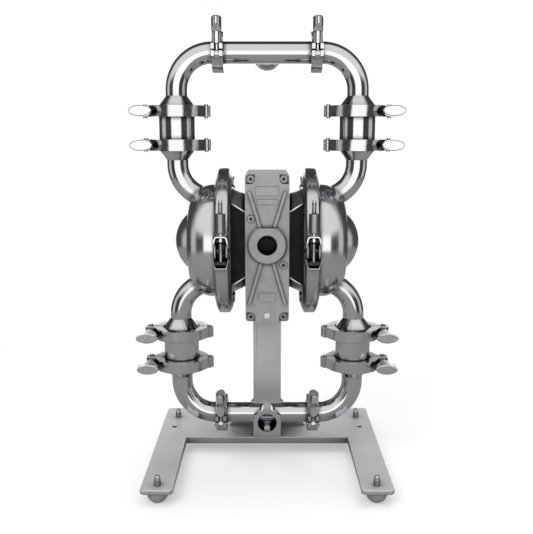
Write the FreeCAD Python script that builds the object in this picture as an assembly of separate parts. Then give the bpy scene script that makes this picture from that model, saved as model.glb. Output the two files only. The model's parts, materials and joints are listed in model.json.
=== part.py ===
import FreeCAD, Part
import math
import os

# Air-operated double-diaphragm pump in polished stainless sanitary tube, on a folded floor stand.
# Millimetres, +Z up. X runs from chamber to chamber and -Y faces the user.
# The origin is on the floor at the centre of the stand's footprint.
# Pieces are drawn about the pump's own plane (y = 0) and set back by pump_setback at the end.

# Sanitary tube: 1 1/2 in pipework, 2 1/2 in check valve housings
pipe_od = 38.1
housing_od = 63.5
tube_wall = 1.65
pipe_bend_radius = 63.5

# Clamp ferrules and the gap that a gasket fills between two of them
small_ferrule_od = 50.5
large_ferrule_od = 77.5
ferrule_rim = 2.85
ferrule_angle = 20.0
joint_gap = 2.0

# Pump layout, heights and distances from the chambers' common axis
axis_height = 446.0
column_x = 159.5
chamber_joint = 171.0
valve_length = 58.5
manifold_rise = 329.5
manifold_joint_x = 85.0
reducer_start = 9.75
reducer_end = 26.3
inlet_face = 55.0
outlet_face = 70.0
branch_ease = 0.05

# Fluid chamber
drum_radius = 102.0
drum_wall = 3.0
drum_end_x = 140.0
knuckle_radius = 42.0
dome_radius = 52.2
dome_height = 26.0
shoulder_tube_start = 137.6
shoulder_tube_turn = 60.0
shoulder_tube_bend = 61.0
shoulder_tube_reach = 30.0

# Flanged joint between air cover, diaphragm and fluid cover
joint_x = 76.0
bead_thickness = 6.0
flange_reach = 22.0
flange_rim = 6.0
flange_taper = 8.5
band_wall = 7.5
band_half_width = 14.8
band_shoulder = 9.0
band_fit = 0.1
band_gap = 6.0

# Air cover and its stainless shroud
motor_half_width = 38.0
shroud_small_x = 38.4
shroud_small_inset = 18.4
shroud_large_inset = 6.6
shroud_lip_gap = 0.6
shroud_edge_curve = 0.6
shroud_thickness = 1.5
shroud_fit = 0.3
flat_y = -60.0
air_wall = 5.0
air_floor_x = 49.0
air_dish_radius = 66.0
air_mouth_step = 2.0
shroud_bolt_inset = 9.4
shroud_bolt_flats = 16.0
shroud_bolt_head = 3.5
shroud_bolt_radius = 4.0
shroud_bolt_length = 8.0

# Diaphragm, its plates and the shaft
stroke = 15.0
shaft_radius = 11.0
shaft_fit = 0.05
shaft_room = 1.0
bush_radius = 14.0
bush_length = 18.0
bush_proud = 4.8
bush_seat_depth = 5.0
seal_width = 4.0
plate_radius = 50.0
plate_thickness = 8.0
plate_nose_radius = 17.0
plate_nose_height = 9.0
plate_edge = 3.0
plate_slope = 14.0
plate_seat_depth = 6.0
shaft_end_gap = 0.2
diaphragm_thickness = 4.0
bead_inset = 6.0
bead_step = 4.0
web_inner_radius = 52.0
web_inset = 3.0
web_bulge = 7.0

# Pilot rod that both inner plates push near the end of the stroke
pilot_radius = 4.0
pilot_drop = 34.0
pilot_travel = 4.0
pilot_touch = 0.3

# Air motor block and covers
motor_height = 258.0
motor_centre_z = -5.4
motor_rear_y = 76.6
motor_corner = 5.0
gasket_thickness = 0.8
gasket_relief = 1.5
cover_thickness = 13.2
corner_land = 17.0
corner_land_depth = 4.2
corner_land_curve = 8.0
corner_screw_x = 28.2
corner_screw_top = 114.9
corner_screw_bottom = -125.4
cover_screw_head = 6.2
cover_screw_head_height = 5.0
cover_screw_radius = 4.0
front_screw_length = 19.0
front_tapped_depth = 14.0
rear_screw_length = 26.0
rear_tapped_depth = 16.0
tapped_fit = 0.05
clearance_fit = 0.1
face_screw_proud = 1.0
counterbore_radius = 7.2
counterbore_depth = 1.8
socket_radius = 3.0
socket_depth = 3.0
face_screw_x = 27.9
face_screw_upper = 46.9
face_screw_lower = -33.4
boss_centre_z = 2.0
boss_base_radius = 35.0
boss_face_radius = 31.4
boss_height = 6.0
boss_flat = 29.4
exhaust_radius = 16.7
exhaust_depth = 24.0
exhaust_hole_radius = 4.5
exhaust_hole_x = 6.0
exhaust_hole_rise = 8.0
exhaust_hole_depth = 12.0
rib_width = 4.6
rib_height = 2.6
upper_rib_ends = ((30.7, 91.9), (12.7, 34.0))
lower_rib_ends = ((31.3, -101.2), (10.4, -29.0))
pad_height = 0.7
label_pads = ((38.4, 87.0, 102.0), (35.7, 72.0, 80.5), (29.6, -98.0, -83.0))
plug_radius = 5.5
plug_z = -124.0
plug_length = 9.0
plug_end_gap = 0.5
plug_dome_radius = 8.8
plug_dome_in = 6.6

# Main air valve
sleeve_rise = 55.0
sleeve_y = -14.0
sleeve_radius = 18.0
sleeve_half_length = 36.0
sleeve_wall = 6.0
spool_end_room = 3.0
spool_land = 9.0
spool_waist_radius = 8.0
spool_travel = 6.0
port_spacing = 18.0
port_radius = 3.5
valve_fit = 0.05

# Rear air inlet cover
rear_cover_bottom = -14.0
rear_cover_top = 114.0
rear_cover_thickness = 14.0
inlet_boss_radius = 19.0
inlet_boss_height = 12.0
inlet_boss_draft = 3.0
inlet_boss_z = 58.0
inlet_thread_radius = 10.4
inlet_depth = 22.0
rear_screw_x = 30.0
rear_screw_inset = 8.0

# Clamps: the large size holds the check valves, the small size the manifolds
clamp_width = 19.5
clamp_fit = 0.1
clamp_wall = 9.8
clamp_lip = 1.9
clamp_split = 1.5
clamp_shoulder_angle = 33.0
hinge_shoulder = 0.55
hinge_sink = 1.0
large_bolt_reach = 57.0
small_bolt_reach = 44.0
ear_thickness = 10.5
ear_end = 8.0
knuckle_size = 8.0
knuckle_fit = 0.3
hinge_pin_radius = 2.6
pin_head_radius = 3.6
pin_head_height = 2.3
pin_fit = 0.05
eye_bolt_radius = 3.95
eye_radius = 7.0
eye_thickness = 7.8
slot_clearance = 0.4
wing_hub_radius = 8.0
wing_hub_height = 19.0
wing_height = 43.0
wing_full_height = 30.0
wing_half_length = 19.5
wing_half_width = 9.2
wing_bore_depth = 24.0
wing_bolt_in = 20.0
wing_edge = 1.6
seat_gap = 0.3

# Check valves
ball_radius = 22.2
ball_lift = 9.0
ball_rest_gap = 0.15
seat_bore = 15.0
seat_cone = 5.5
seat_ring_depth = 7.0
seat_ring_fit = 0.1
gasket_inset = 0.5
stop_bore = 27.0
stop_skirt = 12.0
stop_clearance = 0.5
vane_thickness = 3.0
guide_fit = 0.6
guide_start = 4.0
guide_end = 40.0
guide_turn = 30.0
guide_root = 0.5

# Band latch at the front
latch_reach = 11.0
latch_width = 27.7
latch_wall = 2.2
latch_tail = 16.0
latch_root = 2.5
latch_bar_gap = 1.0
latch_fit = 0.15
latch_lower_z = -19.0
latch_upper_z = 18.0
latch_bar_radius = 5.6
latch_loop_inner = 5.75
tbolt_radius = 4.0
tbolt_top = 85.0
band_nut_radius = 8.0
band_nut_bottom = 32.0
band_nut_height = 31.5
band_nut_rounding = 1.06
trunnion_boss_radius = 6.2

# Stand
base_top = 31.0
base_height = 9.6
sheet = 3.0
leg_x = 192.2
leg_width = 57.3
leg_front = -158.0
cross_front = 80.6
cross_back = 242.4
leg_chamfer = 7.0
foot_y_front = -127.0
foot_y_back = 189.0
foot_radius = 19.2
foot_flat_radius = 5.0
foot_hole_depth = 10.0
foot_neck_radius = 12.0
stud_radius = 5.0
stud_fit = 0.1
cap_flats = 15.6
cap_hex_height = 9.0
cap_total = 24.5
cap_dome_inset = 0.6
washer_radius = 10.5
washer_thickness = 1.6
anchor_x = 194.0
anchor_y = 135.0
anchor_radius = 5.0
post_width = 55.0
post_depth = 65.0
post_top_drop = 46.0
post_slope_depth = 45.0
post_slope_height = 80.0
head_plate_width = 58.5
head_plate_thickness = 4.0
head_plate_bottom = -140.0
head_plate_top = -32.0
head_screw_x = 18.0
head_screw_low = -118.0
head_screw_high = -58.0
head_screw_radius = 4.0
head_screw_head = 6.5
head_screw_head_height = 5.0
head_screw_length = 22.0
head_tapped_depth = 18.0
gusset_rise = 61.0
gusset_reach = 53.0
gusset_thickness = 4.0

# Worked out from the sizes above
pump_setback = -(leg_front + cross_back) / 2
flange_radius = drum_radius + flange_reach
lip_radius = flange_radius - flange_taper
band_radius = flange_radius + band_wall
latch_y = -band_radius - latch_reach
shroud_small_radius = drum_radius - shroud_small_inset
shroud_large_radius = drum_radius - shroud_large_inset
shroud_flange_radius = lip_radius - shroud_lip_gap
shroud_bolt_circle = shroud_flange_radius - shroud_bolt_inset
air_mouth_radius = drum_radius + air_mouth_step
web_outer_radius = drum_radius - drum_wall - web_inset
diaphragm_outer_radius = flange_radius - bead_inset
spool_half_length = sleeve_half_length - spool_travel - spool_end_room
post_front = motor_rear_y + head_plate_thickness
manifold_joint_rise = chamber_joint + valve_length
pipe_radius = pipe_od / 2
pipe_bore = pipe_radius - tube_wall
housing_radius = housing_od / 2
housing_bore = housing_radius - tube_wall
small_ferrule = small_ferrule_od / 2
large_ferrule = large_ferrule_od / 2
slope = math.tan(math.radians(ferrule_angle))
air_face_x = joint_x - bead_thickness / 2
fluid_face_x = joint_x + bead_thickness / 2
flange_thickness = flange_rim + (flange_radius - lip_radius) * slope
plate_in_x = joint_x - diaphragm_thickness / 2 - plate_thickness
plate_out_x = joint_x + diaphragm_thickness / 2 + plate_thickness
cover_back_y = flat_y - gasket_thickness
cover_front_y = cover_back_y - cover_thickness
seat_contact = ball_radius / math.sqrt(2)
ball_rise = 1.0 - seat_cone + (seat_contact - seat_bore) + seat_contact + ball_rest_gap * math.sqrt(2)

x_axis = FreeCAD.Vector(1, 0, 0)
y_axis = FreeCAD.Vector(0, 1, 0)
z_axis = FreeCAD.Vector(0, 0, 1)

# Cutting boxes and drills run this far past what they cut
far = 300.0


def point(x, y, z):
    return FreeCAD.Vector(x, y, z)


def dome_middle(base, rise, radius):
    # The point half way along a spherical cap's outline, for a cap on a flat face at x = base.
    sphere = (radius ** 2 + rise ** 2) / (2 * rise)
    angle = math.asin(radius / sphere) / 2
    return (base + rise - sphere * (1 - math.cos(angle)), sphere * math.sin(angle))


def fuse(shapes):
    whole = shapes[0].multiFuse(shapes[1:]) if len(shapes) > 1 else shapes[0]
    return whole.removeSplitter()


def cylinder(radius, length, start, direction):
    return Part.makeCylinder(radius, length, start, direction)


def box(x0, x1, y0, y1, z0, z1):
    return Part.makeBox(x1 - x0, y1 - y0, z1 - z0, point(x0, y0, z0))


def face_from(start, steps, lift):
    # A step is a point to draw a line to, or a pair (point on the arc, arc's end).
    edges = []
    here = start
    for step in steps + [start]:
        if isinstance(step[0], tuple):
            edges.append(Part.Arc(lift(here), lift(step[0]), lift(step[1])).toShape())
            here = step[1]
        elif step != here:
            edges.append(Part.makeLine(lift(here), lift(step)))
            here = step
    return Part.Face(Part.Wire(edges))


def turned_about_x(start, steps):
    profile = face_from(start, steps, lambda p: point(p[0], 0, p[1]))
    return profile.revolve(point(0, 0, 0), x_axis, 360)


def turned_about_z(start, steps):
    profile = face_from(start, steps, lambda p: point(p[0], 0, p[1]))
    return profile.revolve(point(0, 0, 0), z_axis, 360)


def extruded_y(start, steps, y0, y1):
    profile = face_from(start, steps, lambda p: point(p[0], y0, p[1]))
    return profile.extrude(point(0, y1 - y0, 0))


def moved(shape, x, y, z):
    copy = shape.copy()
    copy.translate(point(x, y, z))
    return copy


def left_of(shape):
    return shape.mirror(point(0, 0, 0), x_axis)


def flipped(shape):
    return shape.mirror(point(0, 0, 0), z_axis)


def hexagon(flats, height, centre, direction):
    corner = flats / math.sqrt(3)
    corners = []
    for k in range(6):
        angle = math.radians(60 * k)
        corners.append(point(corner * math.cos(angle), corner * math.sin(angle), 0))
    prism = Part.Face(Part.makePolygon(corners + corners[:1])).extrude(point(0, 0, height))
    prism.Placement = FreeCAD.Placement(centre, FreeCAD.Rotation(z_axis, direction))
    return prism


def tube_run(start, direction, steps, radius):
    # A step is a straight length, or (bend radius, angle, axis of the bend).
    solids = []
    here = point(*start)
    heading = point(*direction)
    for step in steps:
        if isinstance(step, tuple):
            bend, angle, axis = step
            centre = here + axis.cross(heading) * bend
            disc = Part.Face(Part.Wire(Part.makeCircle(radius, here, heading)))
            solids.append(disc.revolve(centre, axis, angle))
            turn = FreeCAD.Rotation(axis, angle)
            here = centre + turn.multVec(here - centre)
            heading = turn.multVec(heading)
        else:
            solids.append(cylinder(radius, step, here, heading))
            here = here + heading * step
    return fuse(solids)


def ferrule(rim_radius, tube_radius):
    # Stands on its joint plane, its tube going up.
    low = joint_gap / 2
    return turned_about_z((0, low), [
        (rim_radius, low),
        (rim_radius, low + ferrule_rim),
        (tube_radius, low + ferrule_rim + (rim_radius - tube_radius) * slope),
        (0, low + ferrule_rim + (rim_radius - tube_radius) * slope)])


def reducer(wide, narrow, low):
    return turned_about_z((0, low), [
        (wide, low), (wide, reducer_start), (narrow, reducer_end), (0, reducer_end)])


# Check valve columns and manifolds

def elbow_run(radius):
    rise = manifold_rise - manifold_joint_rise - reducer_end - pipe_bend_radius
    level = column_x - pipe_bend_radius - manifold_joint_x - joint_gap / 2
    return tube_run((column_x, 0, manifold_joint_rise + reducer_end), (0, 0, 1),
                    [rise, (pipe_bend_radius, 90, point(0, -1, 0)), level], radius)


def manifold_elbow():
    # Reducer up from the check valve, a bend, and a ferrule at the tee; drawn at the upper right.
    lower = reducer(housing_radius, pipe_radius, joint_gap / 2)
    lower = fuse([lower, ferrule(large_ferrule, housing_radius)])
    lower = moved(lower, column_x, 0, manifold_joint_rise)
    end = ferrule(small_ferrule, pipe_radius)
    end.rotate(point(0, 0, 0), y_axis, 90)
    end.translate(point(manifold_joint_x, 0, manifold_rise))
    outside = fuse([lower, elbow_run(pipe_radius), end])
    bore = moved(reducer(housing_bore, pipe_bore, 0), column_x, 0, manifold_joint_rise)
    mouth = cylinder(pipe_bore, 2 * joint_gap, point(manifold_joint_x, 0, manifold_rise), x_axis)
    inside = fuse([bore, elbow_run(pipe_bore), mouth])
    return outside.cut(inside)


def manifold_elbows():
    upper = manifold_elbow()
    lower = flipped(upper)
    return [upper, left_of(upper), lower, left_of(lower)]


def tee(branch_length, branch_side):
    end_x = manifold_joint_x - joint_gap / 2
    right = ferrule(small_ferrule, pipe_radius)
    right.rotate(point(0, 0, 0), y_axis, -90)
    right.translate(point(manifold_joint_x, 0, 0))
    branch = ferrule(small_ferrule, pipe_radius - branch_ease)
    branch.rotate(point(0, 0, 0), x_axis, 90 * branch_side)
    branch.translate(point(0, branch_side * (branch_length + joint_gap / 2), 0))
    side = point(0, branch_side, 0)
    outside = fuse([
        cylinder(pipe_radius, 2 * end_x, point(-end_x, 0, 0), x_axis),
        cylinder(pipe_radius - branch_ease, branch_length - ferrule_rim, point(0, 0, 0), side),
        right, left_of(right), branch])
    inside = fuse([
        cylinder(pipe_bore, 2 * manifold_joint_x, point(-manifold_joint_x, 0, 0), x_axis),
        cylinder(pipe_bore - branch_ease, branch_length + joint_gap, point(0, 0, 0), side)])
    return outside.cut(inside)


def check_housing():
    # Drawn on its lower joint plane; three ribs inside guide the ball.
    lower = ferrule(large_ferrule, housing_radius)
    upper = moved(flipped(lower), 0, 0, valve_length)
    tube_length = valve_length - joint_gap
    wall = cylinder(housing_radius, tube_length, point(0, 0, joint_gap / 2), z_axis)
    body = fuse([wall, lower, upper])
    body = body.cut(cylinder(housing_bore, valve_length, point(0, 0, 0), z_axis))
    ribs = []
    for k in range(3):
        rib = box(ball_radius + guide_fit, housing_bore + guide_root, -vane_thickness / 2,
                  vane_thickness / 2, guide_start, guide_end)
        rib.rotate(point(0, 0, 0), z_axis, 120 * k + guide_turn)
        ribs.append(rib)
    return fuse([body] + ribs)


def valve_places():
    # Lower joint plane of each check valve, measured from the chambers' axis.
    suction = -manifold_joint_rise
    return [(-column_x, chamber_joint), (column_x, chamber_joint), (-column_x, suction), (column_x, suction)]


def at_valves(shape):
    return [moved(shape, x, 0, z) for x, z in valve_places()]


def ball_seat():
    top = joint_gap / 2
    ring = housing_bore - seat_ring_fit
    return turned_about_z((seat_bore, -seat_ring_depth), [
        (ring, -seat_ring_depth), (ring, -top), (large_ferrule - gasket_inset, -top),
        (large_ferrule - gasket_inset, top), (seat_bore + seat_cone, top), (seat_bore, top - seat_cone)])


def ball_stop():
    top = joint_gap / 2
    ring = housing_bore - seat_ring_fit
    hoop = turned_about_z((stop_bore, -stop_skirt), [
        (ring, -stop_skirt), (ring, -top), (large_ferrule - gasket_inset, -top),
        (large_ferrule - gasket_inset, top), (stop_bore, top)])
    ball_top = ball_rise + ball_radius + ball_lift + stop_clearance - valve_length
    vanes = []
    for k in range(3):
        vane = box(0, stop_bore + 1, -vane_thickness / 2, vane_thickness / 2, ball_top, -top)
        vane.rotate(point(0, 0, 0), z_axis, 120 * k)
        vanes.append(vane)
    return fuse([hoop] + vanes)


def manifold_gaskets():
    ring = cylinder(small_ferrule - gasket_inset, joint_gap, point(0, 0, 0), x_axis)
    ring = ring.cut(cylinder(pipe_bore, joint_gap, point(0, 0, 0), x_axis))
    gaskets = []
    for x in (-manifold_joint_x, manifold_joint_x):
        for z in (-manifold_rise, manifold_rise):
            gaskets.append(moved(ring, x - joint_gap / 2, 0, z))
    return gaskets


# Clamps, drawn about a vertical joint axis: hinge on -X, bolt on +X, wing nut towards -Y

def ferrule_groove(rim_radius):
    fit = clamp_fit
    half = joint_gap / 2 + ferrule_rim + fit
    mouth = half + (rim_radius - lip_inner(rim_radius)) * slope
    return turned_about_z((0, -mouth - clamp_width), [
        (lip_inner(rim_radius), -mouth - clamp_width), (lip_inner(rim_radius), -mouth),
        (rim_radius + fit, -half), (rim_radius + fit, half), (lip_inner(rim_radius), mouth),
        (lip_inner(rim_radius), mouth + clamp_width), (0, mouth + clamp_width)])


def lip_inner(rim_radius):
    return rim_radius - (large_ferrule - housing_radius) + clamp_lip


def hinge_reach(rim_radius):
    return rim_radius + clamp_wall + knuckle_size / 2 - hinge_sink


def clamp_blank(rim_radius, bolt_reach):
    # One half, on the -Y side of the joint: half ring, ear and hinge arm in one outline.
    outer = rim_radius + clamp_wall
    arm = -hinge_reach(rim_radius)
    shoulder = outer * hinge_shoulder
    drop = math.sqrt(outer ** 2 - shoulder ** 2)
    steps = [
        (bolt_reach + ear_end, -clamp_split), (bolt_reach + ear_end, -ear_thickness),
        (outer, -ear_thickness), shoulder_point(outer, clamp_shoulder_angle),
        ((0, -outer), (-drop, -shoulder)), (arm, -knuckle_size), (arm, -clamp_split)]
    plan = face_from((0, -clamp_split), steps, lambda p: point(p[0], p[1], -clamp_width / 2))
    blank = plan.extrude(point(0, 0, clamp_width))
    return blank.cut(ferrule_groove(rim_radius))


def shoulder_point(radius, angle):
    turn = math.radians(angle)
    return (radius * math.cos(turn), -radius * math.sin(turn))


def knuckle(rim_radius, low, high, radius):
    return cylinder(radius, high - low, point(-hinge_reach(rim_radius), 0, low), z_axis)


def clamp_half(rim_radius, bolt_reach, is_front):
    blank = clamp_blank(rim_radius, bolt_reach)
    if not is_front:
        blank = blank.mirror(point(0, 0, 0), y_axis)
    third = clamp_width / 6
    edge = clamp_width / 2
    middle = (-third, third)
    outers = [(-edge, -third), (third, edge)]
    own = outers if is_front else [middle]
    other = [middle] if is_front else outers
    for low, high in other:
        room = knuckle(rim_radius, low - knuckle_fit, high + knuckle_fit, knuckle_size + knuckle_fit)
        blank = blank.cut(room)
    pieces = [blank]
    for low, high in own:
        low_gap = knuckle_fit / 2 if low > -edge else 0
        high_gap = knuckle_fit / 2 if high < edge else 0
        pieces.append(knuckle(rim_radius, low + low_gap, high - high_gap, knuckle_size))
    half = fuse(pieces)
    half = half.cut(knuckle(rim_radius, -edge, edge, hinge_pin_radius + pin_fit))
    slot = eye_thickness / 2 + slot_clearance
    side = -1 if is_front else 1
    inner = bolt_reach - (slot if is_front else eye_radius + slot_clearance)
    y_far = side * 2 * ear_thickness
    slot_box = box(inner, bolt_reach + 2 * ear_end, min(0, y_far), max(0, y_far), -slot, slot)
    half = half.cut(slot_box)
    if not is_front:
        half = half.cut(eye_pin(bolt_reach, pin_fit, 0))
    return half


def eye_pin(bolt_reach, extra, head):
    y = ear_thickness / 2 + clamp_split / 2
    edge = clamp_width / 2
    pin = cylinder(hinge_pin_radius + extra, 2 * edge, point(bolt_reach, y, -edge), z_axis)
    if not head:
        return pin
    top = cylinder(pin_head_radius, head, point(bolt_reach, y, edge), z_axis)
    return fuse([pin, top, flipped(top)])


def hinge_pin(rim_radius):
    edge = clamp_width / 2
    shank = knuckle(rim_radius, -edge, edge, hinge_pin_radius)
    top = knuckle(rim_radius, edge, edge + pin_head_height, pin_head_radius)
    return fuse([shank, top, flipped(top)])


def eye_bolt(bolt_reach):
    y = ear_thickness / 2 + clamp_split / 2
    half = eye_thickness / 2
    eye = cylinder(eye_radius, eye_thickness, point(bolt_reach, y, -half), z_axis)
    reach = y + ear_thickness + seat_gap + wing_bolt_in
    shank = cylinder(eye_bolt_radius, reach, point(bolt_reach, y, 0), point(0, -1, 0))
    shank = shank.common(box(bolt_reach - eye_radius, bolt_reach + eye_radius, -far, y, -half, half))
    hole = cylinder(hinge_pin_radius + pin_fit, eye_thickness, point(bolt_reach, y, -half), z_axis)
    return fuse([eye, shank]).cut(hole)


def oval(low, high):
    curve = Part.Ellipse(point(0, 0, low), wing_half_length, wing_half_width)
    return Part.Face(Part.Wire(curve.toShape())).extrude(point(0, 0, high - low))


def wing_nut():
    # Stands on its base at z = 0, turning about Z, its wings along X.
    hub = cylinder(wing_hub_radius, wing_full_height, point(0, 0, 0), z_axis)
    half = [(wing_hub_radius, wing_hub_height), (wing_half_length + 1, wing_full_height + 1)]
    outline = half + [(-x, z) for x, z in reversed(half)]
    flare = extruded_y((0, wing_hub_height), outline, -wing_half_length, wing_half_length)
    flare = flare.common(oval(wing_hub_height, wing_full_height))
    wings = oval(wing_full_height, wing_height)
    rim = [edge for edge in wings.Edges if edge.BoundBox.ZMin > wing_height - 0.1]
    wings = wings.makeChamfer(wing_edge, rim)
    nut = fuse([hub, flare, wings])
    bore = eye_bolt_radius + pin_fit
    return nut.cut(cylinder(bore, wing_bore_depth, point(0, 0, 0), z_axis))


def clamp_nut(bolt_reach):
    nut = wing_nut()
    nut.rotate(point(0, 0, 0), x_axis, 90)
    nut.translate(point(bolt_reach, -ear_thickness - seat_gap, 0))
    return nut


def column_places():
    return [(side, z) for z in (manifold_joint_rise, chamber_joint, -chamber_joint, -manifold_joint_rise)
            for side in (-1, 1)]


def on_column(shape, side, z):
    turned = shape if side > 0 else left_of(shape)
    return moved(turned, side * column_x, 0, z)


def on_manifold(shape, side, z):
    turned = shape.copy()
    turned.Placement = FreeCAD.Placement(point(0, 0, 0), manifold_turn).multiply(turned.Placement)
    return moved(turned, side * manifold_joint_x, 0, z)


manifold_turn = FreeCAD.Rotation(point(0, -1, 0), point(0, 0, -1), point(1, 0, 0), "ZXY")


def manifold_places():
    return [(side, z) for z in (manifold_rise, -manifold_rise) for side in (-1, 1)]


def at_all_clamps(large_shape, small_shape):
    pieces = [on_column(large_shape, side, z) for side, z in column_places()]
    return pieces + [on_manifold(small_shape, side, z) for side, z in manifold_places()]


# Chambers, drawn at the right of the pump

def drum(offset, start_x):
    # The drum's skin taken in by offset, as one turned solid.
    radius = drum_radius - offset
    knuckle_in = knuckle_radius - offset
    end_x = drum_end_x - offset
    bend_x = drum_end_x - knuckle_radius
    bend_r = drum_radius - knuckle_radius
    half = math.sqrt(0.5) * knuckle_in
    sphere = (dome_radius ** 2 + dome_height ** 2) / (2 * dome_height)
    top = drum_end_x + dome_height - offset
    centre_x = drum_end_x + dome_height - sphere
    edge = math.sqrt((sphere - offset) ** 2 - (end_x - centre_x) ** 2)
    middle_angle = math.asin(edge / (sphere - offset)) / 2
    middle = (centre_x + (sphere - offset) * math.cos(middle_angle),
              (sphere - offset) * math.sin(middle_angle))
    return turned_about_x((start_x, 0), [
        (start_x, radius), (bend_x, radius), ((bend_x + half, bend_r + half), (end_x, bend_r)),
        (end_x, edge), (middle, (top, 0))])


def flange(face_x, side, inner_radius):
    # A clamping flange on the joint face, going away from it towards side.
    back = face_x + side * flange_thickness
    return turned_about_x((face_x, inner_radius), [
        (face_x, flange_radius), (face_x + side * flange_rim, flange_radius),
        (back, lip_radius), (back, inner_radius)])


def shoulder_run(radius, reach):
    # From the reducer down the column, then in to the drum's shoulder.
    start = chamber_joint - reducer_end
    drop = start - shoulder_tube_start
    return tube_run((column_x, 0, start), (0, 0, -1),
                    [drop, (shoulder_tube_bend, shoulder_tube_turn, y_axis), reach], radius)


def fluid_cover():
    outside = [drum(0, fluid_face_x), flange(fluid_face_x, 1, 0)]
    inside = [drum(drum_wall, fluid_face_x - 1)]
    tube_out = shoulder_run(pipe_radius, shoulder_tube_reach)
    tube_in = shoulder_run(pipe_bore, shoulder_tube_reach + 2)
    neck_out = fuse([reducer(housing_radius, pipe_radius, joint_gap / 2),
                     ferrule(large_ferrule, housing_radius)])
    neck_out = moved(flipped(neck_out), column_x, 0, chamber_joint)
    neck_in = moved(flipped(reducer(housing_bore, pipe_bore, 0)), column_x, 0, chamber_joint)
    for piece in (tube_out, neck_out):
        outside += [piece, flipped(piece)]
    for piece in (tube_in, neck_in):
        inside += [piece, flipped(piece)]
    return fuse(outside).cut(fuse(inside))


def air_cover():
    skin = shroud_thickness + shroud_fit
    back = air_face_x - flange_thickness
    bore = shaft_radius + shaft_room
    body = turned_about_x((motor_half_width, bore), [
        (motor_half_width, shroud_small_radius - skin), (back, shroud_large_radius - skin),
        (back, lip_radius), (air_face_x - flange_rim, flange_radius), (air_face_x, flange_radius),
        (air_face_x, bore)])
    body = body.cut(box(0, back, -far, flat_y, -far, far))
    dish = turned_about_x((air_floor_x, 0), [
        (air_floor_x, air_dish_radius), (air_face_x, air_mouth_radius),
        (air_face_x + 1, air_mouth_radius), (air_face_x + 1, 0)])
    dish = dish.cut(box(0, back, -far, flat_y + air_wall, -far, far))
    body = body.cut(dish)
    room = bush_radius + shaft_fit
    body = body.cut(cylinder(room, bush_seat_depth, point(motor_half_width, 0, 0), x_axis))
    pilot = point(motor_half_width - 1, 0, -pilot_drop)
    body = body.cut(cylinder(pilot_radius + shaft_fit, far, pilot, x_axis))
    for angle in (90, -90):
        body = body.cut(shroud_bolt_shank(angle, tapped_fit))
    return body


def shroud():
    skin = shroud_thickness
    back = air_face_x - flange_thickness
    cone = turned_about_x((shroud_small_x, shroud_small_radius - skin), [
        (shroud_small_x, shroud_small_radius), (back - skin, shroud_large_radius - shroud_edge_curve),
        (back, shroud_large_radius), (back, shroud_large_radius - skin)])
    cone = cone.cut(box(0, back + 1, -far, flat_y, -far, far))
    rim = turned_about_x((back - skin, shroud_large_radius - skin), [
        (back - skin, shroud_flange_radius), (back, shroud_flange_radius),
        (back, shroud_large_radius - skin)])
    whole = fuse([cone, rim])
    for angle in (90, -90):
        whole = whole.cut(shroud_bolt_shank(angle, tapped_fit))
    return whole


def shroud_bolt_shank(angle, extra):
    start = air_face_x - flange_thickness - shroud_thickness
    y = shroud_bolt_circle * math.cos(math.radians(angle))
    z = shroud_bolt_circle * math.sin(math.radians(angle))
    return cylinder(shroud_bolt_radius + extra, shroud_bolt_length, point(start, y, z), x_axis)


def shroud_bolts():
    start = air_face_x - flange_thickness - shroud_thickness
    bolts = []
    for angle in (90, -90):
        y = shroud_bolt_circle * math.cos(math.radians(angle))
        z = shroud_bolt_circle * math.sin(math.radians(angle))
        head = hexagon(shroud_bolt_flats, shroud_bolt_head, point(start, y, z), point(-1, 0, 0))
        bolt = fuse([head, shroud_bolt_shank(angle, 0)])
        bolts += [bolt, left_of(bolt)]
    return bolts


def diaphragm():
    half = diaphragm_thickness / 2
    bead = bead_thickness / 2
    middle = (web_inner_radius + web_outer_radius) / 2
    return turned_about_x((joint_x - half, shaft_radius + shaft_fit), [
        (joint_x - half, web_inner_radius),
        ((joint_x - half + web_bulge, middle), (joint_x - half, web_outer_radius)),
        (joint_x - bead, web_outer_radius + bead_step), (joint_x - bead, diaphragm_outer_radius),
        (joint_x + bead, diaphragm_outer_radius), (joint_x + bead, web_outer_radius + bead_step),
        (joint_x + half, web_outer_radius),
        ((joint_x + half + web_bulge, middle), (joint_x + half, web_inner_radius)),
        (joint_x + half, shaft_radius + shaft_fit)])


def inner_plate():
    high = plate_in_x + plate_thickness
    curve = plate_thickness / 2
    bow = curve * (1 - math.sqrt(0.5))
    return turned_about_x((plate_in_x, shaft_radius + shaft_fit), [
        (plate_in_x, plate_radius - curve),
        ((plate_in_x + bow, plate_radius - bow), (plate_in_x + curve, plate_radius)),
        (high, plate_radius), (high, shaft_radius + shaft_fit)])


def outer_plate():
    low = joint_x + diaphragm_thickness / 2
    middle = dome_middle(plate_out_x, plate_nose_height, plate_nose_radius)
    return turned_about_x((low, 0), [
        (low, plate_radius), (low + plate_edge, plate_radius), (plate_out_x, plate_radius - plate_slope),
        (plate_out_x, plate_nose_radius), (middle, (plate_out_x + plate_nose_height, 0))])


def outer_plate_bored():
    depth = diaphragm_thickness / 2 + plate_seat_depth + shaft_fit
    hole = cylinder(shaft_radius + shaft_fit, depth, point(joint_x, 0, 0), x_axis)
    return outer_plate().cut(hole)


def diaphragm_shaft():
    end = joint_x + diaphragm_thickness / 2 + plate_seat_depth - shaft_end_gap
    return cylinder(shaft_radius, 2 * end, point(-end, 0, 0), x_axis)


def shaft_bush():
    start = motor_half_width + bush_proud - bush_length
    ring = cylinder(bush_radius, bush_length, point(start, 0, 0), x_axis)
    return ring.cut(cylinder(shaft_radius + shaft_fit, bush_length, point(start, 0, 0), x_axis))


def shaft_seal():
    start = motor_half_width + bush_proud - bush_length - seal_width
    ring = cylinder(bush_radius, seal_width, point(start, 0, 0), x_axis)
    return ring.cut(cylinder(shaft_radius + shaft_fit, seal_width, point(start, 0, 0), x_axis))


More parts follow.
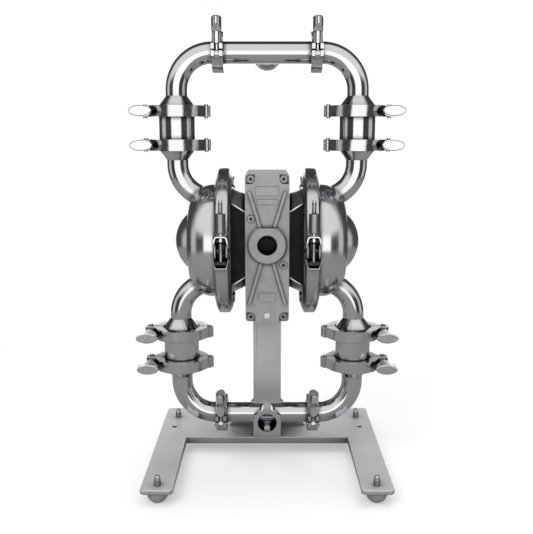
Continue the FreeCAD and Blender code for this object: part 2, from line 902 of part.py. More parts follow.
def pilot_half_length():
    return plate_in_x - stroke + pilot_travel - pilot_touch


def pilot_rod():
    half = pilot_half_length()
    return cylinder(pilot_radius, 2 * half, point(-half, 0, -pilot_drop), x_axis)


# Band clamp round each flanged joint, with its latch at the front

def band_ring():
    half = joint_x - band_half_width
    far = joint_x + band_half_width
    rim = bead_thickness / 2 + flange_rim + band_fit
    mouth = bead_thickness / 2 + flange_thickness + band_fit
    groove = flange_radius + band_fit
    curve = band_shoulder
    bow = curve * (1 - math.sqrt(0.5))
    return turned_about_x((joint_x - mouth, lip_radius), [
        (half, lip_radius), (half, band_radius - curve),
        ((half + bow, band_radius - bow), (half + curve, band_radius)), (far - curve, band_radius),
        ((far - bow, band_radius - bow), (far, band_radius - curve)), (far, lip_radius),
        (joint_x + mouth, lip_radius), (joint_x + rim, groove), (joint_x - rim, groove)])


def latch_loop(height, up):
    # A strap bent round a cross bar, rooted on the band's face; slotted for the bolt.
    outer = latch_loop_inner + latch_wall
    x0 = joint_x - latch_width / 2
    wrap = cylinder(outer, latch_width, point(x0, latch_y, height), x_axis)
    root_y = -math.sqrt(band_radius ** 2 - (abs(height) + outer) ** 2) + latch_root
    root = box(x0, x0 + latch_width, latch_y, root_y, height - outer, height + outer)
    tail_far = height + up * (outer + latch_tail)
    tail = box(x0, x0 + latch_width, -band_radius - latch_wall, root_y,
               min(height, tail_far), max(height, tail_far))
    loop = fuse([wrap, root, tail])
    loop = loop.cut(cylinder(latch_loop_inner, latch_width, point(x0, latch_y, height), x_axis))
    slot = trunnion_boss_radius + slot_clearance
    bolt_room = box(joint_x - slot, joint_x + slot, latch_y - outer - 1, latch_y + slot,
                    height - outer - 1, height + outer + 1)
    return loop.cut(bolt_room)


def band_clamp():
    ring = band_ring()
    ring = ring.cut(box(0, far, -far, flat_y, -band_gap / 2, band_gap / 2))
    keep = flange_radius + latch_wall
    room = cylinder(keep, latch_width, point(joint_x - latch_width / 2, 0, 0), x_axis)
    lower = latch_loop(latch_lower_z, -1).cut(room)
    upper = latch_loop(latch_upper_z, 1).cut(room)
    return fuse([ring, lower, upper])


def band_tbolt():
    bar_half = latch_width / 2 - latch_bar_gap
    bar_radius = latch_bar_radius
    bar = cylinder(bar_radius, 2 * bar_half, point(joint_x - bar_half, latch_y, latch_lower_z), x_axis)
    shank = cylinder(tbolt_radius, tbolt_top - latch_lower_z, point(joint_x, latch_y, latch_lower_z), z_axis)
    return fuse([bar, shank])


def band_trunnion():
    bar_half = latch_width / 2 - latch_bar_gap
    bar = cylinder(latch_bar_radius, 2 * bar_half, point(joint_x - bar_half, latch_y, latch_upper_z), x_axis)
    boss_height = band_nut_bottom - seat_gap - latch_upper_z
    boss = cylinder(trunnion_boss_radius, boss_height, point(joint_x, latch_y, latch_upper_z), z_axis)
    whole = fuse([bar, boss])
    hole = tbolt_radius + latch_fit
    start = point(joint_x, latch_y, latch_upper_z - latch_width)
    return whole.cut(cylinder(hole, 2 * latch_width, start, z_axis))


def band_nut():
    low = band_nut_bottom
    flats = 2 * band_nut_radius
    nut = hexagon(flats, band_nut_height, point(joint_x, latch_y, low), z_axis)
    corner = band_nut_radius * band_nut_rounding
    rounding = cylinder(corner, band_nut_height, point(joint_x, latch_y, low), z_axis)
    nut = nut.common(rounding)
    return nut.cut(cylinder(tbolt_radius + pin_fit, band_nut_height, point(joint_x, latch_y, low), z_axis))


# Air motor

def edges_along_y(block):
    return [edge for edge in block.Edges if abs(edge.tangentAt(edge.FirstParameter).y) > 0.99]


def cover_outline(y0, y1, low, high):
    block = box(-motor_half_width, motor_half_width, y0, y1, low, high)
    return block.makeFillet(motor_corner, edges_along_y(block))


def motor_low():
    return motor_centre_z - motor_height / 2


def motor_high():
    return motor_centre_z + motor_height / 2


def screw_centres():
    heights = (corner_screw_top, corner_screw_bottom)
    return [(side * corner_screw_x, z) for side in (-1, 1) for z in heights]


def face_screw_centres():
    return [(-face_screw_x, face_screw_upper), (face_screw_x, face_screw_lower)]


def rear_screw_centres():
    return [(side * rear_screw_x, z) for side in (-1, 1)
            for z in (rear_cover_bottom + rear_screw_inset, rear_cover_top - rear_screw_inset)]


def head_screw_centres():
    return [(side * head_screw_x, z) for side in (-1, 1) for z in (head_screw_low, head_screw_high)]


def motor_housing():
    block = cover_outline(flat_y, motor_rear_y, motor_low(), motor_high())
    left = -motor_half_width
    width = 2 * motor_half_width
    bores = [
        cylinder(bush_radius + shaft_fit, width, point(left, 0, 0), x_axis),
        cylinder(pilot_radius + shaft_fit, width, point(left, 0, -pilot_drop), x_axis),
        cylinder(sleeve_radius + valve_fit, width, point(left, sleeve_y, sleeve_rise), x_axis),
        cylinder(exhaust_radius, exhaust_depth, point(0, flat_y, boss_centre_z), y_axis)]
    for x in (-exhaust_hole_x, exhaust_hole_x):
        start = point(x, flat_y + exhaust_depth - 1, boss_centre_z + exhaust_hole_rise)
        bores.append(cylinder(exhaust_hole_radius, exhaust_hole_depth, start, y_axis))
    tapped = cover_screw_radius + tapped_fit
    for x, z in screw_centres() + face_screw_centres():
        bores.append(cylinder(tapped, front_tapped_depth, point(x, flat_y, z), y_axis))
    for x, z in rear_screw_centres():
        start = point(x, motor_rear_y - rear_tapped_depth, z)
        bores.append(cylinder(tapped, rear_tapped_depth, start, y_axis))
    for x, z in head_screw_centres():
        start = point(x, motor_rear_y - head_tapped_depth, z)
        bores.append(cylinder(head_screw_radius + tapped_fit, head_tapped_depth, start, y_axis))
    for bore in bores:
        block = block.cut(bore)
    return block


def rib(side, ends):
    (x0, z0), (x1, z1) = [(side * x, z) for x, z in ends]
    length = math.hypot(x1 - x0, z1 - z0)
    half = rib_width / 2
    bar = box(-half, half, -rib_height, 0, 0, length)
    ends = [cylinder(half, rib_height, point(0, 0, z), point(0, -1, 0)) for z in (0, length)]
    bar = fuse([bar] + ends)
    bar.rotate(point(0, 0, 0), y_axis, math.degrees(math.atan2(x1 - x0, z1 - z0)))
    bar.translate(point(x0, cover_front_y, z0))
    return bar


def label_pad(width, low, high):
    return box(-width / 2, width / 2, cover_front_y - pad_height, cover_front_y, low, high)


def front_cover():
    block = cover_outline(cover_front_y, cover_back_y, motor_low(), motor_high())
    land_y = cover_front_y + corner_land_depth
    for side in (-1, 1):
        for edge_z, turn in ((motor_high(), -1), (motor_low(), 1)):
            x_out = side * motor_half_width
            x_in = side * (motor_half_width - corner_land)
            z_in = edge_z + turn * corner_land
            land = box(min(x_in, x_out), max(x_in, x_out), cover_front_y - 1, land_y,
                       min(z_in, edge_z), max(z_in, edge_z))
            inner = [e for e in land.Edges if abs(e.Vertexes[0].X - x_in) < 0.01
                     and abs(e.Vertexes[1].X - x_in) < 0.01
                     and abs(e.Vertexes[0].Z - z_in) < 0.01 and abs(e.Vertexes[1].Z - z_in) < 0.01]
            block = block.cut(land.makeFillet(corner_land_curve, inner))
    boss = Part.makeCone(boss_base_radius, boss_face_radius, boss_height,
                         point(0, cover_front_y, boss_centre_z), point(0, -1, 0))
    boss = boss.common(box(-far, far, -far, 0, -far, boss_centre_z + boss_flat))
    ribs = []
    for side in (-1, 1):
        ribs += [rib(side, upper_rib_ends), rib(side, lower_rib_ends)]
    pads = [label_pad(width, low, high) for width, low, high in label_pads]
    cover = fuse([block, boss] + ribs + pads)
    holes = [cylinder(exhaust_radius, far, point(0, -far, boss_centre_z), y_axis)]
    for x, z in screw_centres():
        holes.append(cylinder(cover_screw_radius + clearance_fit, far, point(x, -far, z), y_axis))
        holes.append(cylinder(counterbore_radius, counterbore_depth, point(x, land_y, z), y_axis))
    recess_y = cover_front_y + face_recess()
    for x, z in face_screw_centres():
        holes.append(cylinder(cover_screw_radius + clearance_fit, far, point(x, -far, z), y_axis))
        holes.append(cylinder(counterbore_radius, far, point(x, recess_y - far, z), y_axis))
    holes.append(cylinder(plug_radius + tapped_fit, plug_length, point(0, cover_front_y, plug_z), y_axis))
    for hole in holes:
        cover = cover.cut(hole)
    return cover


def face_recess():
    return cover_screw_head_height - face_screw_proud


def motor_gasket():
    plate = cover_outline(cover_back_y, flat_y, motor_low(), motor_high())
    for x, z in screw_centres() + face_screw_centres():
        plate = plate.cut(cylinder(cover_screw_radius + clearance_fit, far, point(x, -far, z), y_axis))
    hole = exhaust_radius + gasket_relief
    return plate.cut(cylinder(hole, far, point(0, -far, boss_centre_z), y_axis))


def cap_screw(head_radius, head_height, radius, length, start, direction):
    # The head's underside is at start; the shank goes along direction.
    back = point(-direction.x, -direction.y, -direction.z)
    head = cylinder(head_radius, head_height, start, back)
    shank = cylinder(radius, length, start, direction)
    top = start + back * head_height
    socket = hexagon(2 * socket_radius, socket_depth, top, direction)
    return fuse([head, shank]).cut(socket)


def motor_screws():
    screws = []
    land_y = cover_front_y + corner_land_depth + counterbore_depth
    for x, z in screw_centres():
        screws.append(cap_screw(cover_screw_head, cover_screw_head_height, cover_screw_radius,
                                front_screw_length, point(x, land_y, z), y_axis))
    for x, z in face_screw_centres():
        screws.append(cap_screw(cover_screw_head, cover_screw_head_height, cover_screw_radius,
                                front_screw_length, point(x, cover_front_y + face_recess(), z), y_axis))
    rear = motor_rear_y + rear_cover_thickness
    for x, z in rear_screw_centres():
        screws.append(cap_screw(cover_screw_head, cover_screw_head_height, cover_screw_radius,
                                rear_screw_length, point(x, rear, z), point(0, -1, 0)))
    return screws


def drain_plug():
    body = cylinder(plug_radius, plug_length - plug_end_gap, point(0, cover_front_y, plug_z), y_axis)
    cap = Part.makeSphere(plug_dome_radius, point(0, cover_front_y + plug_dome_in, plug_z))
    shadow = cylinder(plug_radius, plug_length, point(0, cover_front_y + 1 - plug_length, plug_z), y_axis)
    return fuse([body, cap.common(shadow)])


def rear_cover():
    plate = box(-motor_half_width, motor_half_width, motor_rear_y, motor_rear_y + rear_cover_thickness,
                rear_cover_bottom, rear_cover_top)
    plate = plate.makeFillet(motor_corner, edges_along_y(plate))
    start = motor_rear_y + rear_cover_thickness
    boss = Part.makeCone(inlet_boss_radius + inlet_boss_draft, inlet_boss_radius, inlet_boss_height,
                         point(0, start, inlet_boss_z), y_axis)
    cover = fuse([plate, boss])
    mouth = start + inlet_boss_height
    bottom = point(0, mouth - inlet_depth, inlet_boss_z)
    cover = cover.cut(cylinder(inlet_thread_radius, inlet_depth, bottom, y_axis))
    for x, z in rear_screw_centres():
        cover = cover.cut(cylinder(cover_screw_radius + clearance_fit, far, point(x, 0, z), y_axis))
    return cover


def valve_sleeve():
    half = sleeve_half_length
    start = point(-half, sleeve_y, sleeve_rise)
    sleeve = cylinder(sleeve_radius, 2 * half, start, x_axis)
    sleeve = sleeve.cut(cylinder(sleeve_radius - sleeve_wall, 2 * half, start, x_axis))
    for x in (-port_spacing, 0, port_spacing):
        low = point(x, sleeve_y, sleeve_rise - 1.5 * sleeve_radius)
        port = cylinder(port_radius, 3 * sleeve_radius, low, z_axis)
        sleeve = sleeve.cut(port)
    return sleeve


def valve_spool():
    half = spool_half_length
    land = sleeve_radius - sleeve_wall - valve_fit
    waist = cylinder(spool_waist_radius, 2 * half, point(-half, sleeve_y, sleeve_rise), x_axis)
    lands = []
    for x in (-half, -spool_land / 2, half - spool_land):
        lands.append(cylinder(land, spool_land, point(x, sleeve_y, sleeve_rise), x_axis))
    return fuse([waist] + lands)


# Stand, drawn at its own height above the floor

def base_outline():
    outer = leg_x + leg_width / 2
    inner = leg_x - leg_width / 2
    c = leg_chamfer
    half = [
        (inner, cross_front), (inner, leg_front + c), (inner + c, leg_front), (outer - c, leg_front),
        (outer, leg_front + c), (outer, cross_back - c), (outer - c, cross_back)]
    mirrored = [(-x, y) for x, y in reversed(half)]
    return half + mirrored


def stand_base():
    corners = [point(x, y, base_top - base_height) for x, y in base_outline()]
    wire = Part.makePolygon(corners + corners[:1])
    block = Part.Face(wire).extrude(point(0, 0, base_height))
    inner = wire.makeOffset2D(-sheet, 2)
    room = Part.Face(inner).extrude(point(0, 0, base_height - sheet))
    base = block.cut(room)
    for x, y in foot_places():
        base = base.cut(cylinder(stud_radius + stud_fit, far, point(x, y, 0), z_axis))
    for x in (-anchor_x, anchor_x):
        base = base.cut(cylinder(anchor_radius, far, point(x, anchor_y, 0), z_axis))
    return base


def foot_places():
    return [(side * leg_x, y) for side in (-1, 1) for y in (foot_y_front, foot_y_back)]


def foot():
    # A rubber ball cut flat where it stands, with a neck up to the sheet.
    base_under = base_top - base_height
    middle = math.sqrt(foot_radius ** 2 - foot_flat_radius ** 2)
    turn = (math.radians(90) + math.asin(foot_flat_radius / foot_radius)) / 2
    halfway = (foot_radius * math.sin(turn), middle - foot_radius * math.cos(turn))
    body = turned_about_z((0, 0), [
        (foot_flat_radius, 0), (halfway, (foot_radius, middle)), (foot_radius, base_under),
        (foot_neck_radius, base_under), (foot_neck_radius, base_top - sheet), (0, base_top - sheet)])
    return body.cut(cylinder(stud_radius + stud_fit, far, point(0, 0, base_under - foot_hole_depth), z_axis))


def foot_stud():
    low = base_top - base_height - foot_hole_depth
    shank = cylinder(stud_radius, base_top - low, point(0, 0, low), z_axis)
    washer = cylinder(washer_radius, washer_thickness, point(0, 0, base_top), z_axis)
    hex_low = base_top + washer_thickness
    prism = hexagon(cap_flats, cap_hex_height, point(0, 0, hex_low), z_axis)
    dome = cap_flats / 2 - cap_dome_inset
    high = base_top + cap_total
    barrel = turned_about_z((0, hex_low), [
        (dome, hex_low), (dome, high - dome),
        ((dome * math.sqrt(0.5), high - dome + dome * math.sqrt(0.5)), (0, high))])
    return fuse([shank, washer, prism, barrel])


def stand_post():
    half = post_width / 2
    back = post_front + post_depth
    post_top = axis_height - post_top_drop
    post = box(-half, half, post_front, back, base_top, post_top)
    post = post.cut(box(-half + sheet, half - sheet, post_front + sheet, back + 1, base_top, post_top))
    top_cut = extruded_side((back - post_slope_depth, post_top), (back, post_top),
                            (back, post_top - post_slope_height), half)
    post = post.cut(top_cut)
    for x, z in head_screw_centres():
        hole = cylinder(head_screw_radius + clearance_fit, far, point(x, 0, z + axis_height), y_axis)
        post = post.cut(hole)
    gussets = []
    for side in (-1, 1):
        gusset = extruded_y((side * half, base_top), [
            (side * (half + gusset_reach), base_top), (side * half, base_top + gusset_rise)],
            back - gusset_thickness, back)
        gussets.append(gusset)
    return fuse([post] + gussets)


def extruded_side(a, b, c, half):
    # A triangle in the YZ plane pulled across X.
    corners = [point(-half - 5, p[0], p[1]) for p in (a, b, c)]
    return Part.Face(Part.makePolygon(corners + corners[:1])).extrude(point(2 * half + 10, 0, 0))


def post_head_plate():
    half = head_plate_width / 2
    plate = box(-half, half, motor_rear_y, post_front,
                axis_height + head_plate_bottom, axis_height + head_plate_top)
    for x, z in head_screw_centres():
        hole = cylinder(head_screw_radius + clearance_fit, far, point(x, 0, z + axis_height), y_axis)
        plate = plate.cut(hole)
    return plate


def head_screws():
    start = post_front + sheet
    return [cap_screw(head_screw_head, head_screw_head_height, head_screw_radius, head_screw_length,
                      point(x, start, z + axis_height), point(0, -1, 0)) for x, z in head_screw_centres()]


def write(node, solids, height):
    placed = [moved(solid, 0, pump_setback, height) for solid in solids]
    shape = placed[0] if len(placed) == 1 else Part.makeCompound(placed)
    shape.exportStep("parts/" + node + ".step")


def main():
    os.makedirs("parts", exist_ok=True)
    at_axis = axis_height

    def pump(node, solids):
        write(node, solids, at_axis)

    def both(node, shape):
        pump(node, [shape, left_of(shape)])

    def pair(stem, shape):
        pump(stem + "_right", [shape])
        pump(stem + "_left", [left_of(shape)])

    pump("manifold_elbows", manifold_elbows())
    pump("inlet_tee", [moved(tee(inlet_face, -1), 0, 0, -manifold_rise)])
    pump("outlet_tee", [moved(tee(outlet_face, 1), 0, 0, manifold_rise)])
    pump("manifold_gaskets", manifold_gaskets())
    pump("check_housings", at_valves(check_housing()))
    pump("ball_seats", at_valves(ball_seat()))
    stop = moved(ball_stop(), 0, 0, valve_length)
    pump("ball_stops", at_valves(stop))
    ball = Part.makeSphere(ball_radius, point(0, 0, ball_rise))
    names = ("ball_upper_left", "ball_upper_right", "ball_lower_left", "ball_lower_right")
    for name, (x, z) in zip(names, valve_places()):
        pump(name, [moved(ball, x, 0, z)])

    large_halves = [clamp_half(large_ferrule, large_bolt_reach, front) for front in (True, False)]
    small_halves = [clamp_half(small_ferrule, small_bolt_reach, front) for front in (True, False)]
    pump("column_clamp_halves", [on_column(h, s, z) for s, z in column_places() for h in large_halves])
    pump("manifold_clamp_halves", [on_manifold(h, s, z) for s, z in manifold_places() for h in small_halves])
    pins = at_all_clamps(hinge_pin(large_ferrule), hinge_pin(small_ferrule))
    large_eye = eye_pin(large_bolt_reach, 0, pin_head_height)
    small_eye = eye_pin(small_bolt_reach, 0, pin_head_height)
    pump("clamp_pins", pins + at_all_clamps(large_eye, small_eye))
    pump("clamp_eye_bolts", at_all_clamps(eye_bolt(large_bolt_reach), eye_bolt(small_bolt_reach)))
    nuts = at_all_clamps(clamp_nut(large_bolt_reach), clamp_nut(small_bolt_reach))
    for number, nut in enumerate(nuts):
        pump("wing_nut_%02d" % (number + 1), [nut])

    pair("fluid_cover", fluid_cover())
    pair("air_cover", air_cover())
    pair("diaphragm", diaphragm())
    pair("band_clamp", band_clamp())
    pair("band_nut", band_nut())
    both("air_cover_shrouds", shroud())
    pump("shroud_bolts", shroud_bolts())
    pump("band_tbolts", [band_tbolt(), left_of(band_tbolt())])
    both("band_trunnions", band_trunnion())
    plates = [inner_plate(), outer_plate_bored()]
    pump("diaphragm_plates", plates + [left_of(plate) for plate in plates])
    pump("diaphragm_shaft", [diaphragm_shaft()])
    both("shaft_bushes", shaft_bush())
    both("shaft_seals", shaft_seal())
    pump("pilot_rod", [pilot_rod()])

    pump("motor_housing", [motor_housing()])
    pump("motor_front_cover", [front_cover()])
    pump("motor_rear_cover", [rear_cover()])
    pump("motor_gasket", [motor_gasket()])
    pump("motor_screws", motor_screws())
    pump("drain_plug", [drain_plug()])
    pump("valve_sleeve", [valve_sleeve()])
    pump("valve_spool", [valve_spool()])

    write("stand_base", [stand_base()], 0)
    write("stand_post", [stand_post()], 0)
    write("post_head_plate", [post_head_plate()], 0)
    write("post_screws", head_screws(), 0)
    write("stand_feet", [moved(foot(), x, y, 0) for x, y in foot_places()], 0)
    write("foot_studs", [moved(foot_stud(), x, y, 0) for x, y in foot_places()], 0)


main()
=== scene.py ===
import bpy
import json
import math
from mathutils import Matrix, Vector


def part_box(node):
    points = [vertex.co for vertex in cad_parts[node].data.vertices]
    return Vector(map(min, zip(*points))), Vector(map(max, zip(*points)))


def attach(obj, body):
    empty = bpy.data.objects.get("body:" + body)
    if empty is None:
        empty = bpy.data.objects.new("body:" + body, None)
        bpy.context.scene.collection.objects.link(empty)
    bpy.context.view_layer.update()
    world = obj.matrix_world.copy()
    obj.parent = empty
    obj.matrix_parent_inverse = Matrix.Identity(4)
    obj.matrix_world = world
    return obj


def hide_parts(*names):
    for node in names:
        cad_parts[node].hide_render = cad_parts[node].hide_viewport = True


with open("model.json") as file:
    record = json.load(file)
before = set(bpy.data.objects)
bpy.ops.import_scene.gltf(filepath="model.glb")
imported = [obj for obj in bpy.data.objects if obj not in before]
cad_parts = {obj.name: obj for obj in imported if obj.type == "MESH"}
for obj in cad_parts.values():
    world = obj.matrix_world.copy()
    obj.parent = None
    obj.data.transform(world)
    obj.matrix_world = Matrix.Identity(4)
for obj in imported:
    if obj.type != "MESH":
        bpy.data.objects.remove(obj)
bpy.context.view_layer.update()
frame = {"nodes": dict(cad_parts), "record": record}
nodes = frame["nodes"]
shaftLow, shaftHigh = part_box("diaphragm_shaft")
planeY = (shaftLow[1] + shaftHigh[1]) / 2  # the pump's middle plane, front to back
axisZ = (shaftLow[2] + shaftHigh[2]) / 2  # height of the chambers' axis
print("frame loaded:", len(nodes), "nodes")

camera = {
    "aside": -0.0012,
    "distance": 1.338,  # to the pump's middle plane
    "height": 0.6397,
    "tilt": 79.68,  # degrees from straight down
    "lens": 50.0,
}
studio = {
    "fill": 0.78,  # plain white that falls on matt surfaces from all round
    "keyPower": 38.0,
    "keyPlace": (-1.1, -1.7, 2.2),
    "keySize": 1.5,
    "topPower": 30.0,
    "topPlace": (0.3, 0.2, 2.6),
    "topSize": 1.8,
    "aimHeight": 0.45,
    "bright": 1.65,  # softbox behind the camera, as polished steel sees it
    "pale": 0.72,
    "dark": 0.07,
    "above": 1.05,
    "behind": 0.06,
    "brightTo": 31,  # degrees away from the camera's side, where each band of the walls ends
    "darkTo": 72,
    "paleTo": 104,
    "backDarkTo": 160,
    "bandEdge": 3,
    "aboveTo": 0.42,  # share of the half turn, where the bright ceiling ends and the dark one starts
    "behindFrom": 0.62,
    "wallTop": 0.16,  # rise of the direction, where the walls end and the ceiling starts
    "ceilingFrom": 0.36,
    "rampTop": 2.0,  # a ramp ends at 1, so its levels are divided by this and the background makes up for it
    "floorRadius": 1.83,
    "floorColour": "#b9b9ba",
    "floorMirrored": "#8e8f8f",  # the same floor as polished steel shows it
    "floorGlow": 0.42,  # lifts the floor to white for the camera only
    "fadeStart": 0.45,  # the floor goes over to the white background from here
    "fadeEnd": 1.1,
}


def linear(hexColour):
    # sRGB hex to the linear values that a shader takes
    parts = [int(hexColour[i:i + 2], 16) / 255 for i in (1, 3, 5)]
    return tuple(c / 12.92 if c <= 0.04045 else ((c + 0.055) / 1.055) ** 2.4 for c in parts) + (1.0,)


def addNode(tree, kind, settings=None, values=None, links=None):
    node = tree.nodes.new(kind)
    for name, value in (settings or {}).items():
        setattr(node, name, value)
    for name, value in (values or {}).items():
        node.inputs[name].default_value = value
    for name, source in (links or {}).items():
        tree.links.new(source, node.inputs[name])
    return node


def addMath(tree, operation, values=None, links=None):
    return addNode(tree, "ShaderNodeMath", {"operation": operation}, values, links).outputs[0]


def multiplied(tree, links, values=None):
    # Two colours multiplied in full
    mix = addNode(tree, "ShaderNodeMix", {"data_type": "RGBA", "blend_type": "MULTIPLY"},
                  {0: 1.0, **(values or {})}, links)
    return mix.outputs[2]


def setRamp(node, stops):
    ramp = node.color_ramp
    ramp.interpolation = "EASE"
    while len(ramp.elements) < len(stops):
        ramp.elements.new(0.5)
    for element, (place, level) in zip(ramp.elements, stops):
        element.position = place
        element.color = (level, level, level, 1)


def turnStops(bands, edge):
    # bands are (degrees where the band ends, level); edge is the soft width between two bands
    stops = []
    start = 0
    for end, level in bands:
        stops.append(((start + (edge if start else 0)) / 180, level))
        stops.append(((end - (edge if end < 180 else 0)) / 180, level))
        start = end
    return stops


def makeWorld():
    world = bpy.data.worlds.new("softStudio")
    bpy.context.scene.world = world
    world.use_nodes = True
    tree = world.node_tree
    tree.nodes.clear()
    where = addNode(tree, "ShaderNodeTexCoord").outputs["Generated"]
    axes = addNode(tree, "ShaderNodeSeparateXYZ", links={0: where}).outputs
    back = addMath(tree, "MULTIPLY", {1: -1.0}, {0: axes["Y"]})
    bearing = addMath(tree, "ARCTAN2", links={0: axes["X"], 1: back})
    aside = addMath(tree, "ABSOLUTE", links={0: bearing})
    turn = addMath(tree, "DIVIDE", {1: math.pi}, {0: aside})
    bright, pale, dark, above, behind = (
        studio[name] / studio["rampTop"] for name in ("bright", "pale", "dark", "above", "behind"))
    bands = [(studio["brightTo"], bright), (studio["darkTo"], dark), (studio["paleTo"], pale),
             (studio["backDarkTo"], dark), (180, bright)]
    walls = addNode(tree, "ShaderNodeValToRGB", links={0: turn})
    setRamp(walls, turnStops(bands, studio["bandEdge"]))
    ceiling = addNode(tree, "ShaderNodeValToRGB", links={0: turn})
    setRamp(ceiling, [(0.0, above), (studio["aboveTo"], above), (studio["behindFrom"], behind)])
    rise = addNode(tree, "ShaderNodeMapRange", {"interpolation_type": "SMOOTHSTEP"},
                   {"From Min": studio["wallTop"], "From Max": studio["ceilingFrom"]},
                   {"Value": axes["Z"]}).outputs[0]
    pattern = addNode(tree, "ShaderNodeMix", {"data_type": "RGBA"}, links={0: rise})
    tree.links.new(walls.outputs[0], pattern.inputs[6])
    tree.links.new(ceiling.outputs[0], pattern.inputs[7])
    seen = addNode(tree, "ShaderNodeBackground", values={"Strength": studio["rampTop"]},
                   links={"Color": pattern.outputs[2]})
    fill = addNode(tree, "ShaderNodeBackground", values={"Color": (1, 1, 1, 1), "Strength": studio["fill"]})
    white = addNode(tree, "ShaderNodeBackground", values={"Color": (1, 1, 1, 1), "Strength": 1.0})
    rays = addNode(tree, "ShaderNodeLightPath").outputs
    lit = addNode(tree, "ShaderNodeMixShader",
                  links={0: rays["Is Glossy Ray"], 1: fill.outputs[0], 2: seen.outputs[0]})
    whole = addNode(tree, "ShaderNodeMixShader",
                    links={0: rays["Is Camera Ray"], 1: lit.outputs[0], 2: white.outputs[0]})
    addNode(tree, "ShaderNodeOutputWorld", links={"Surface": whole.outputs[0]})


def addLamp(name, place, size, power):
    # Soft square lamp that looks at the pump; polished steel sees the studio instead of it
    lamp = bpy.data.lights.new(name, "AREA")
    lamp.size = size
    lamp.energy = power
    lampObject = bpy.data.objects.new(name, lamp)
    bpy.context.scene.collection.objects.link(lampObject)
    lampObject.location = place
    aim = [-place[0], -place[1], studio["aimHeight"] - place[2]]
    flat = math.hypot(aim[0], aim[1])
    lampObject.rotation_euler = (math.atan2(flat, -aim[2]), 0, math.atan2(-aim[0], aim[1]))
    lampObject.visible_glossy = False


def makeFloor():
    bpy.ops.object.select_all(action="DESELECT")
    bpy.ops.mesh.primitive_circle_add(vertices=96, radius=studio["floorRadius"], fill_type="NGON")
    floor = bpy.context.object
    floor.name = "paleFloor"
    material = bpy.data.materials.new("matt pale floor")  # painted studio floor
    material.use_nodes = True
    tree = material.node_tree
    tree.nodes.clear()
    matt = addNode(tree, "ShaderNodeBsdfDiffuse", values={"Color": linear(studio["floorColour"])})
    glow = addNode(tree, "ShaderNodeEmission", values={"Color": (1, 1, 1, 1), "Strength": studio["floorGlow"]})
    lifted = addNode(tree, "ShaderNodeAddShader", links={0: matt.outputs[0], 1: glow.outputs[0]})
    where = addNode(tree, "ShaderNodeTexCoord").outputs["Object"]
    away = addNode(tree, "ShaderNodeVectorMath", {"operation": "LENGTH"}, links={0: where}).outputs["Value"]
    fade = addNode(tree, "ShaderNodeMapRange", {"interpolation_type": "SMOOTHSTEP"},
                   {"From Min": studio["fadeStart"], "From Max": studio["fadeEnd"]}, {"Value": away}).outputs[0]
    white = addNode(tree, "ShaderNodeEmission", values={"Color": (1, 1, 1, 1), "Strength": 1.0})
    seen = addNode(tree, "ShaderNodeMixShader", links={0: fade, 1: lifted.outputs[0], 2: white.outputs[0]})
    mirrored = addNode(tree, "ShaderNodeBsdfDiffuse", values={"Color": linear(studio["floorMirrored"])})
    rays = addNode(tree, "ShaderNodeLightPath").outputs
    unseen = addNode(tree, "ShaderNodeMixShader",
                     links={0: rays["Is Glossy Ray"], 1: matt.outputs[0], 2: mirrored.outputs[0]})
    whole = addNode(tree, "ShaderNodeMixShader",
                    links={0: rays["Is Camera Ray"], 1: unseen.outputs[0], 2: seen.outputs[0]})
    addNode(tree, "ShaderNodeOutputMaterial", links={"Surface": whole.outputs[0]})
    floor.data.materials.append(material)


def makeCamera():
    data = bpy.data.cameras.new("photoView")
    data.lens = camera["lens"]
    view = bpy.data.objects.new("photoView", data)
    bpy.context.scene.collection.objects.link(view)
    view.location = (camera["aside"], planeY - camera["distance"], camera["height"])
    view.rotation_euler = (math.radians(camera["tilt"]), 0, 0)
    bpy.context.scene.camera = view


bpy.context.scene.view_settings.view_transform = "Standard"
makeCamera()
makeWorld()
makeFloor()
addLamp("keyLamp", studio["keyPlace"], studio["keySize"], studio["keyPower"])
addLamp("topLamp", studio["topPlace"], studio["topSize"], studio["topPower"])
print("studio ready")


def startMaterial(name, colour, metallic, roughness, **more):
    material = bpy.data.materials.new(name)
    material.use_nodes = True
    tree = material.node_tree
    shader = tree.nodes["Principled BSDF"]
    shader.inputs["Base Color"].default_value = linear(colour)
    shader.inputs["Metallic"].default_value = metallic
    shader.inputs["Roughness"].default_value = roughness
    for socket, value in more.items():
        shader.inputs[socket].default_value = value
    where = addNode(tree, "ShaderNodeTexCoord").outputs["Object"]
    return material, tree, shader, where


def patternScale(millimetres):
    # Noise has about one blotch per unit, so this many per metre
    return 1000.0 / millimetres


def mottle(tree, where, size, low, high, detail=3.0, stretch=(1, 1, 1)):
    # A noise from low to high, its blotches size millimetres across
    spread = addNode(tree, "ShaderNodeMapping", values={"Scale": stretch}, links={"Vector": where}).outputs[0]
    noise = addNode(tree, "ShaderNodeTexNoise", values={"Scale": patternScale(size), "Detail": detail},
                    links={"Vector": spread}).outputs[0]
    limits = {"From Min": 0.3, "From Max": 0.7, "To Min": low, "To Max": high}
    return addNode(tree, "ShaderNodeMapRange", values=limits, links={"Value": noise}).outputs[0]


def blend(tree, share, first, second):
    # From the first colour to the second by share
    mix = addNode(tree, "ShaderNodeMix", {"data_type": "RGBA"}, {6: linear(first), 7: linear(second)}, {0: share})
    return mix.outputs[2]


def press(tree, shader, height, distance, strength):
    # Bumps distance metres high, from a pattern of 0 to 1
    bump = addNode(tree, "ShaderNodeBump", values={"Strength": strength, "Distance": distance},
                   links={"Height": height})
    tree.links.new(bump.outputs[0], shader.inputs["Normal"])


